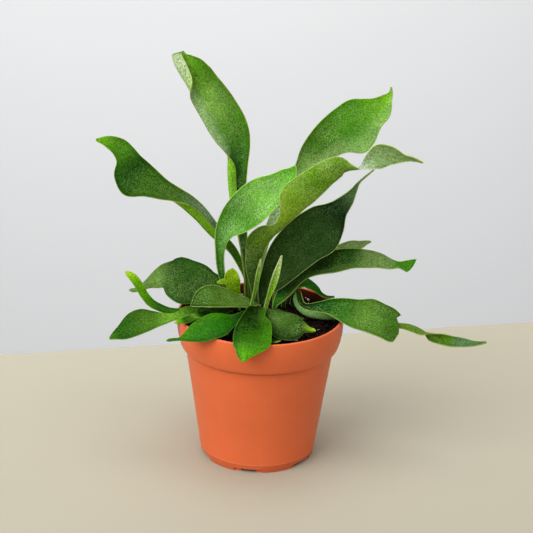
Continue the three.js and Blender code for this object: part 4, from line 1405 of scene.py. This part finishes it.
def left_fronds() -> Iterator[Frond]:
    """Gives the fronds that reach to the left, one by one."""
    yield Frond(
        "frond_left_round", Slot.FROND, (-20, 17), (0, -0.75, 0.65),
        finish=LeafFinish(
            greens=ramp((0, 22, 56, 0), (0.4, 26, 64, 2), (0.66, 36, 72, 12), (0.78, 90, 122, 50),
                        (1, 92, 120, 66)),
            down=paint(118, 150, 82), downy=0.45, margin=paint(110, 138, 56), margin_strength=0.5,
        ),
        blades=[Blade(waves=(0.6, 3, 0), round_tip=2, rows=[
            (-24, 14.5, 104.5, 4, 3, 25), (-27, 13, 109.1, 10.5, 6, 20), (-33.5, 11, 111.7, 14.4, 9, 12),
            (-40.6, 9, 114.4, 15.6, 12.6, 8), (-47, 7, 115.3, 16, 15.2, 8),
            (-52.7, 5, 116.3, 16.6, 15.4, 10), (-57.9, 4, 117.2, 13.6, 13.4, 12),
            (-63, 4, 117.8, 7.8, 9.8, 15), (-68.2, 4, 116.6, 6.8, 5.8, 15),
            (-73.5, 4.5, 113.1, 3.3, 3.2, 15), (-78.1, 5, 109.6, 1.3, 2.3, 10),
            (-82, 5, 108.4, 1.4, 1.4, 10), (-85.9, 5, 108.3, 1.1, 1.3, 10),
        ])],
    )
    yield Frond(
        "frond_left_forked", Slot.YOUNG, (-17, 4), (0, -0.5, 0.85),
        # painted shade: the greens' dark base, from 0 to 0.3, where the centre frond shades it
        finish=LeafFinish(
            greens=ramp((0, 12, 46, 0), (0.3, 20, 62, 0), (0.48, 92, 140, 34), (0.6, 50, 88, 6),
                        (0.78, 22, 74, 0), (0.9, 84, 144, 0), (1, 144, 192, 14)),
            down=paint(112, 154, 60), downy=0.3, margin=paint(120, 160, 30), margin_strength=0.4,
        ),
        blades=[
            Blade(shades=(0, 0.85), waves=(0.4, 2, 0), rows=[
                (-23, -2, 99, 4, 3.4, 35), (-32, -6, 99, 5.6, 5, 30), (-40.2, -9, 99, 6, 5.7, 30),
                (-47.2, -13, 99.3, 4.2, 6, 30), (-54.1, -17, 99.4, 3, 3, 28),
                (-61, -18, 98.2, 5.5, 4.3, 25), (-68.5, -18.5, 97.2, 8.4, 7.2, 20),
                (-75.4, -18.5, 95.6, 9.8, 10.2, 15), (-82.4, -18.5, 93, 9.6, 9.2, 15),
                (-88.8, -18.5, 89.3, 7, 4.4, 12), (-93.9, -19, 85.9, 2.9, 1.8, 10),
                (-96, -19, 83.9, 0.7, 0.7, 10),
            ]),
            Blade(shades=(0.6, 1), round_tip=2, rows=[
                (-40, -9, 99.5, 3, 3, 25), (-49, -10, 99.6, 3.4, 3.2, 30),
                (-59.4, -10, 100.7, 3.4, 2.6, 35), (-64.5, -10, 103.2, 4.6, 2.2, 38),
                (-69.6, -10, 106.5, 5.2, 2, 40), (-73.8, -9.5, 111.3, 4.6, 1.9, 40),
                (-77.7, -9, 117.2, 3.8, 2.5, 38), (-82, -8.5, 122.4, 3.2, 2.8, 30),
                (-86.5, -8, 126.2, 1.7, 1, 20),
            ]),
            Blade(round_tip=1, rows=[
                (-33, -8, 99, 2, 2, 20), (-41, -18, 101, 3, 2.4, 10), (-47, -25, 101, 3, 2.4, 10),
                (-54, -28, 100, 0.8, 0.8, 10),
            ]),
        ],
    )
    yield Frond(
        "frond_centre_low", Slot.FROND, (-1, 8), (0, -0.45, 0.9),
        finish=LeafFinish(
            greens=ramp((0, 64, 98, 18), (0.55, 74, 106, 26), (0.8, 46, 82, 4), (1, 24, 60, 0)),
            down=paint(132, 168, 86), downy=0.5, margin=paint(170, 194, 110),
        ),
        blades=[Blade(waves=(0.4, 2, 1), rows=[
            (-5.7, 2, 102.1, 2.4, 3, 20), (-11.5, -1, 104.2, 5.2, 5.4, 18), (-17.9, -5, 107, 7.2, 8.2, 12),
            (-24.9, -9, 109.8, 8.4, 10.8, 10), (-31.8, -12, 111, 8.2, 10.5, 10),
            (-37.7, -14, 110.4, 6.8, 7.6, 10), (-41.7, -16, 109, 4.2, 3, 10),
            (-44.2, -17, 107.3, 0.7, 0.7, 10),
        ])],
    )


def front_fronds() -> Iterator[Frond]:
    """Gives the low fronds at the front, one by one."""
    yield Frond(
        "frond_front_left", Slot.FROND, (-10, -5), (0, -0.6, 0.8),
        # painted shade: the dark left tint; painted highlight: the lighter right tint
        finish=LeafFinish(
            greens=ramp((0, 4, 40, 0), (0.3, 6, 50, 0), (0.6, 26, 94, 0), (1, 48, 104, 0)),
            down=paint(90, 150, 10), downy=0.2, grain=0.7, roughness=0.34, shine=0.06,
            left=Tint(paint(8, 60, 0), 0.6), right=Tint(paint(64, 124, 0), 0.5), margin=paint(90, 150, 10),
            margin_strength=0.4,
        ),
        blades=[Blade(round_tip=1.5, rows=[
            (-12.5, -14, 101, 2, 2.2, 22), (-15.3, -23, 102.4, 2.6, 3.6, 20),
            (-20.7, -33, 103.7, 6.2, 7.2, 16), (-26.7, -38, 103.1, 9, 9.4, 10),
            (-32.7, -42, 101.9, 8.2, 9.2, 10), (-38.8, -44, 100.1, 6.9, 7.6, 10),
            (-44.6, -46, 98.4, 3.6, 4.2, 10), (-49.1, -47, 97.2, 1.1, 1.4, 10),
            (-53.4, -48, 97.2, 1, 1.1, 10), (-57.4, -48, 96.4, 1, 1.1, 10),
        ])],
    )
    yield Frond(
        "frond_front_droop", Slot.FROND, (-1, 0), (0, -0.6, 0.8),
        # painted shade: the greens' near black base and the dark right tint; painted highlight: the lighter
        # left tint
        finish=LeafFinish(
            greens=ramp((0, 2, 8, 0), (0.34, 4, 14, 0), (0.5, 4, 22, 0), (0.64, 6, 40, 0), (0.8, 40, 90, 0),
                        (1, 78, 148, 0)),
            down=paint(96, 156, 30), downy=0.22, grain=0.7, roughness=0.34, shine=0.06,
            left=Tint(paint(70, 130, 4), 0.45), right=Tint(paint(8, 44, 0), 0.5),
            margin=paint(110, 166, 30), margin_strength=0.5,
        ),
        blades=[Blade(rows=[
            (-2, -11, 104, 5.5, 5, 25), (-5, -28, 104.8, 8.7, 6.7, 18), (-4.9, -38, 103.6, 12, 9.8, 8),
            (-4.7, -48, 101.4, 12, 11.6, 0), (-5.1, -56, 98.9, 10.8, 11.2, -6),
            (-6.5, -60, 95.7, 4.8, 10, -10), (-8.2, -62.5, 93.1, 2, 6.2, -10),
            (-9.3, -64, 90.7, 0.7, 2.4, -5),
        ])],
    )
    yield Frond(
        "frond_front_right", Slot.FROND, (7, -3), (0, -0.5, 0.85),
        finish=LeafFinish(
            greens=ramp((0, 14, 44, 2), (0.35, 24, 58, 2), (0.6, 54, 86, 22), (0.85, 22, 56, 0),
                        (1, 144, 182, 24)),
            down=paint(128, 164, 80), downy=0.45, right=Tint(paint(10, 40, 0), 0.8),
            margin=paint(110, 140, 50), margin_strength=0.5,
        ),
        blades=[Blade(round_tip=2, rows=[
            (6.1, -10, 102.9, 3, 4.5, 0), (10, -18, 103.2, 6.3, 7.8, -10),
            (14.4, -26, 102.9, 10.4, 10, -14), (18.8, -33, 102.2, 11, 11.8, -18),
            (23.2, -36, 101.7, 10.4, 8.4, -16), (26.9, -36, 101.7, 6.6, 3.4, -5),
            (31, -35.5, 100.9, 2.2, 1.9, 10), (35.1, -36, 100.6, 1.8, 1.2, 10),
        ])],
    )
    yield Frond(
        "frond_shade", Slot.DARK, (5, -10), (0, -0.6, 0.8),
        # painted shade: this small frond sits in shade between the droop and the front right frond, and its
        # greens are painted near black
        finish=LeafFinish(greens=ramp((0, 14, 44, 2), (1, 24, 74, 2)), downy=0.15),
        blades=[Blade(round_tip=2, rows=[
            (7.6, -19, 96.4, 2.4, 2.8, 15), (8.8, -32, 94.6, 2.6, 3, 12), (10.2, -42, 94.9, 3, 2.8, 10),
            (11.4, -49.5, 98.6, 2, 2.2, 5),
        ])],
    )


def young_fronds() -> Iterator[Frond]:
    """Gives the young fronds that aren't fully open, one by one."""
    yield Frond(
        "frond_young_yellow", Slot.YOUNG, (-13, 9), (0, -0.95, 0.3),
        finish=LeafFinish(
            greens=ramp((0, 90, 134, 2), (0.5, 106, 150, 6), (1, 146, 184, 26)),
            downy=0.15, margin=paint(180, 206, 80), margin_width=0.3,
        ),
        blades=[
            Blade(round_tip=1.5, rows=[
                (-17, 5, 110, 3.8, 3.4, 20), (-19, 3, 118, 5, 5.4, 20), (-19, 2, 123, 4.5, 4, 20),
                (-19, 1, 127, 1.4, 1.2, 10),
            ]),
            Blade(rows=[
                (-19, 3.5, 117, 2.4, 2.4, 10), (-24, 3, 117, 2, 2, 10), (-28.5, 3, 116, 0.6, 0.7, 10),
            ]),
        ],
    )
    yield Frond(
        "spear_front", Slot.YOUNG, (3, 3), (0.35, -0.95, 0.3),
        finish=LeafFinish(
            greens=ramp((0, 124, 220, 0), (0.5, 158, 230, 20), (0.85, 196, 232, 120), (1, 226, 234, 196)),
            downy=0.25, margin=paint(214, 224, 160), margin_width=0.35,
        ),
        blades=[Blade(curls=(1.2, 0.8), rows=[
            (5, 1, 108, 2, 1.6, 60), (7, 0, 116, 3.6, 2.6, 70), (9, -1, 124, 3.6, 2.6, 70),
            (11, -1, 131, 2.2, 1.6, 60), (12.5, -2, 137.5, 0.6, 0.6, 40),
        ])],
    )
    yield Frond(
        "spear_small", Slot.YOUNG, (-6.4, -3), (0.35, -0.95, 0.3),
        finish=LeafFinish(
            greens=ramp((0, 50, 110, 4), (0.5, 88, 150, 14), (0.85, 130, 180, 60), (1, 200, 214, 160)),
            downy=0.2, margin=paint(170, 190, 110), margin_width=0.3,
        ),
        blades=[Blade(rows=[
            (-5.8, -3.4, 105, 1.1, 1.1, 40), (-4, -4.4, 114, 1.3, 1.3, 50), (-2.7, -6, 123.4, 1.8, 1.6, 60),
            (-1.9, -6.5, 129.1, 1.6, 1.4, 60), (-1.1, -7, 133.7, 1, 0.9, 50),
            (-0.6, -7, 136.8, 0.5, 0.5, 40),
        ])],
    )


# ---------------------------------------------------------------- studio


@dataclass(frozen=True)
class Lamp:
    """A square soft light: its place, what it shines at, its side, its watts and its spread in degrees."""

    name: str
    place: Point
    target: Point
    size: float
    power: float
    spread: float = 180.0

    def build(self) -> None:
        """Adds the light to the scene."""
        light = bpy.data.lights.new(self.name, "AREA")
        light.size = self.size * MM
        light.energy = self.power
        light.spread = math.radians(self.spread)
        lamp = bpy.data.objects.new(self.name, light)
        start, end = Vector(self.place) * MM, Vector(self.target) * MM
        turn = (end - start).to_track_quat("-Z", "Y").to_matrix().to_4x4()
        lamp.matrix_world = Matrix.Translation(start) @ turn
        bpy.context.scene.collection.objects.link(lamp)


@dataclass
class Studio:
    """A pale floor whose back edge is in view, a pale wall far behind it, soft lights and the camera.

    The wall stands further back than the camera does in the view from behind. The camera's
    target, distance, elevation and roll in degrees give its place, and its focal length is in
    pixels of the square frame.
    """

    distance: float = 900.0
    elevation: float = 20.53
    roll: float = 1.6
    target: Point = (3.05, 0.0, 129.17)
    focal_pixels: float = 1403.0
    frame_pixels: int = 533
    sensor: float = 36.0
    floor_colour: Colour = paint(176, 170, 151)
    wall_colour: Colour = paint(232, 232, 232)
    back_left: tuple[float, float] = (-198.7, 135.9)
    back_right: tuple[float, float] = (225.0, 231.5)
    floor_reach: float = 1500.0
    floor_depth: float = 2500.0
    wall_distance: float = 1250.0
    wall_reach: float = 3000.0
    wall_heights: tuple[float, float] = (-1900.0, 2600.0)
    surround: Colour = (0.95, 0.97, 1.0)
    surround_strength: float = 0.34
    lamps: tuple[Lamp, ...] = (
        Lamp("key", (-1120, -1040, 1380), (0, 0, 110), 1500, 34.7),
        Lamp("fill", (1000, -900, 1100), (120, 0, 0), 1500, 2.4),
        Lamp("overhead", (350, -600, 1500), (100, -200, 0), 2200, 9.2),
        Lamp("wall_light", (-240, 565, 1410), (-73, 1250, -594), 1440, 8.2, 92),
    )

    def build(self) -> None:
        """Sets up the floor, the backdrop, the lights and the camera."""
        self.backdrop()
        self.lights()
        self.camera()

    def plain(self, name: str, colour: Colour) -> bpy.types.Material:
        """Makes a plain matt material.

        Args:
            name: The material's name.
            colour: Its colour.

        Returns:
            The material.
        """
        surface = Surface(name)
        surface.constant(Specular_IOR_Level=0.2)
        shaded = surface.shader.shade(colour, surface.mottled(0.004, 0.02))
        return surface.finish(shaded, 0.7, surface.shader.clouds(surface.place, 0.5), 0.0)

    def sheet(self, name: str, corners: list[Point], colour: Colour) -> None:
        """Adds a flat stage piece.

        Args:
            name: The piece's name.
            corners: Its corners in millimetres.
            colour: Its colour.
        """
        mesh = bpy.data.meshes.new(name)
        points = [[value * MM for value in corner] for corner in corners]
        mesh.from_pydata(points, [], [range(len(points))])
        mesh.materials.append(self.plain(name, colour))
        piece = bpy.data.objects.new(name, mesh)
        bpy.context.scene.collection.objects.link(piece)
        piece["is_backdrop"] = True

    def backdrop(self) -> None:
        """Adds the floor, whose back edge is in view, and the wall behind it."""
        left, right = Vector(self.back_left), Vector(self.back_right)
        edge = (right - left).normalized() * self.floor_reach
        near = Vector((0, -self.floor_depth))
        floor = [left - edge + near, right + edge + near, right + edge, left - edge]
        self.sheet("floor", [(*corner, 0) for corner in floor], self.floor_colour)
        (low, high), wide, back = self.wall_heights, self.wall_reach, self.wall_distance
        wall = [(-wide, back, low), (wide, back, low), (wide, back, high), (-wide, back, high)]
        self.sheet("backdrop", wall, self.wall_colour)

    def lights(self) -> None:
        """Adds a large soft light from the upper left, weaker ones round it and an even surround."""
        for lamp in self.lamps:
            lamp.build()
        world = bpy.data.worlds.new("surround")
        bpy.context.scene.world = world
        world.use_nodes = True
        background = world.node_tree.nodes["Background"]
        background.inputs["Color"].default_value = (*self.surround, 1.0)
        background.inputs["Strength"].default_value = self.surround_strength

    def camera(self) -> None:
        """Adds the camera, which looks down at the plant and is rolled a little."""
        lift, roll = math.radians(self.elevation), math.radians(self.roll)
        ahead = Vector((0, math.cos(lift), -math.sin(lift)))
        level, above = Vector((1, 0, 0)), Vector((0, math.sin(lift), math.cos(lift)))
        right = math.cos(roll) * level + math.sin(roll) * above
        up = math.cos(roll) * above - math.sin(roll) * level
        data = bpy.data.cameras.new("camera")
        data.sensor_width = self.sensor
        data.lens = self.focal_pixels / self.frame_pixels * self.sensor
        camera = bpy.data.objects.new("camera", data)
        place = (Vector(self.target) - ahead * self.distance) * MM
        turn = Matrix((right, up, -ahead)).transposed().to_4x4()
        camera.matrix_world = Matrix.Translation(place) @ turn
        bpy.context.scene.collection.objects.link(camera)
        bpy.context.scene.camera = camera
        bpy.context.scene.view_settings.view_transform = "Standard"


def main() -> None:
    """Builds the pot, the potting mix, the fronds and the studio, and works out the bounds of the CAD model
    and of what is built.
    """
    logging.basicConfig(level=logging.INFO, format="%(message)s")
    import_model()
    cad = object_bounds()
    Studio().build()
    log.info("pot: %s", GrowersPot().build().name)
    for piece in PottingMix().build():
        log.info("potting mix: %s", piece.name)
    for frond in fronds():
        piece = frond.build()
        log.info("frond: %s, %d faces", piece.name, len(piece.data.polygons))
    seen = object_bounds()
    sizes = {name: [list(corner) for corner in box] for name, box in (("cad", cad), ("visual", seen))}


if __name__ == "__main__":
    main()
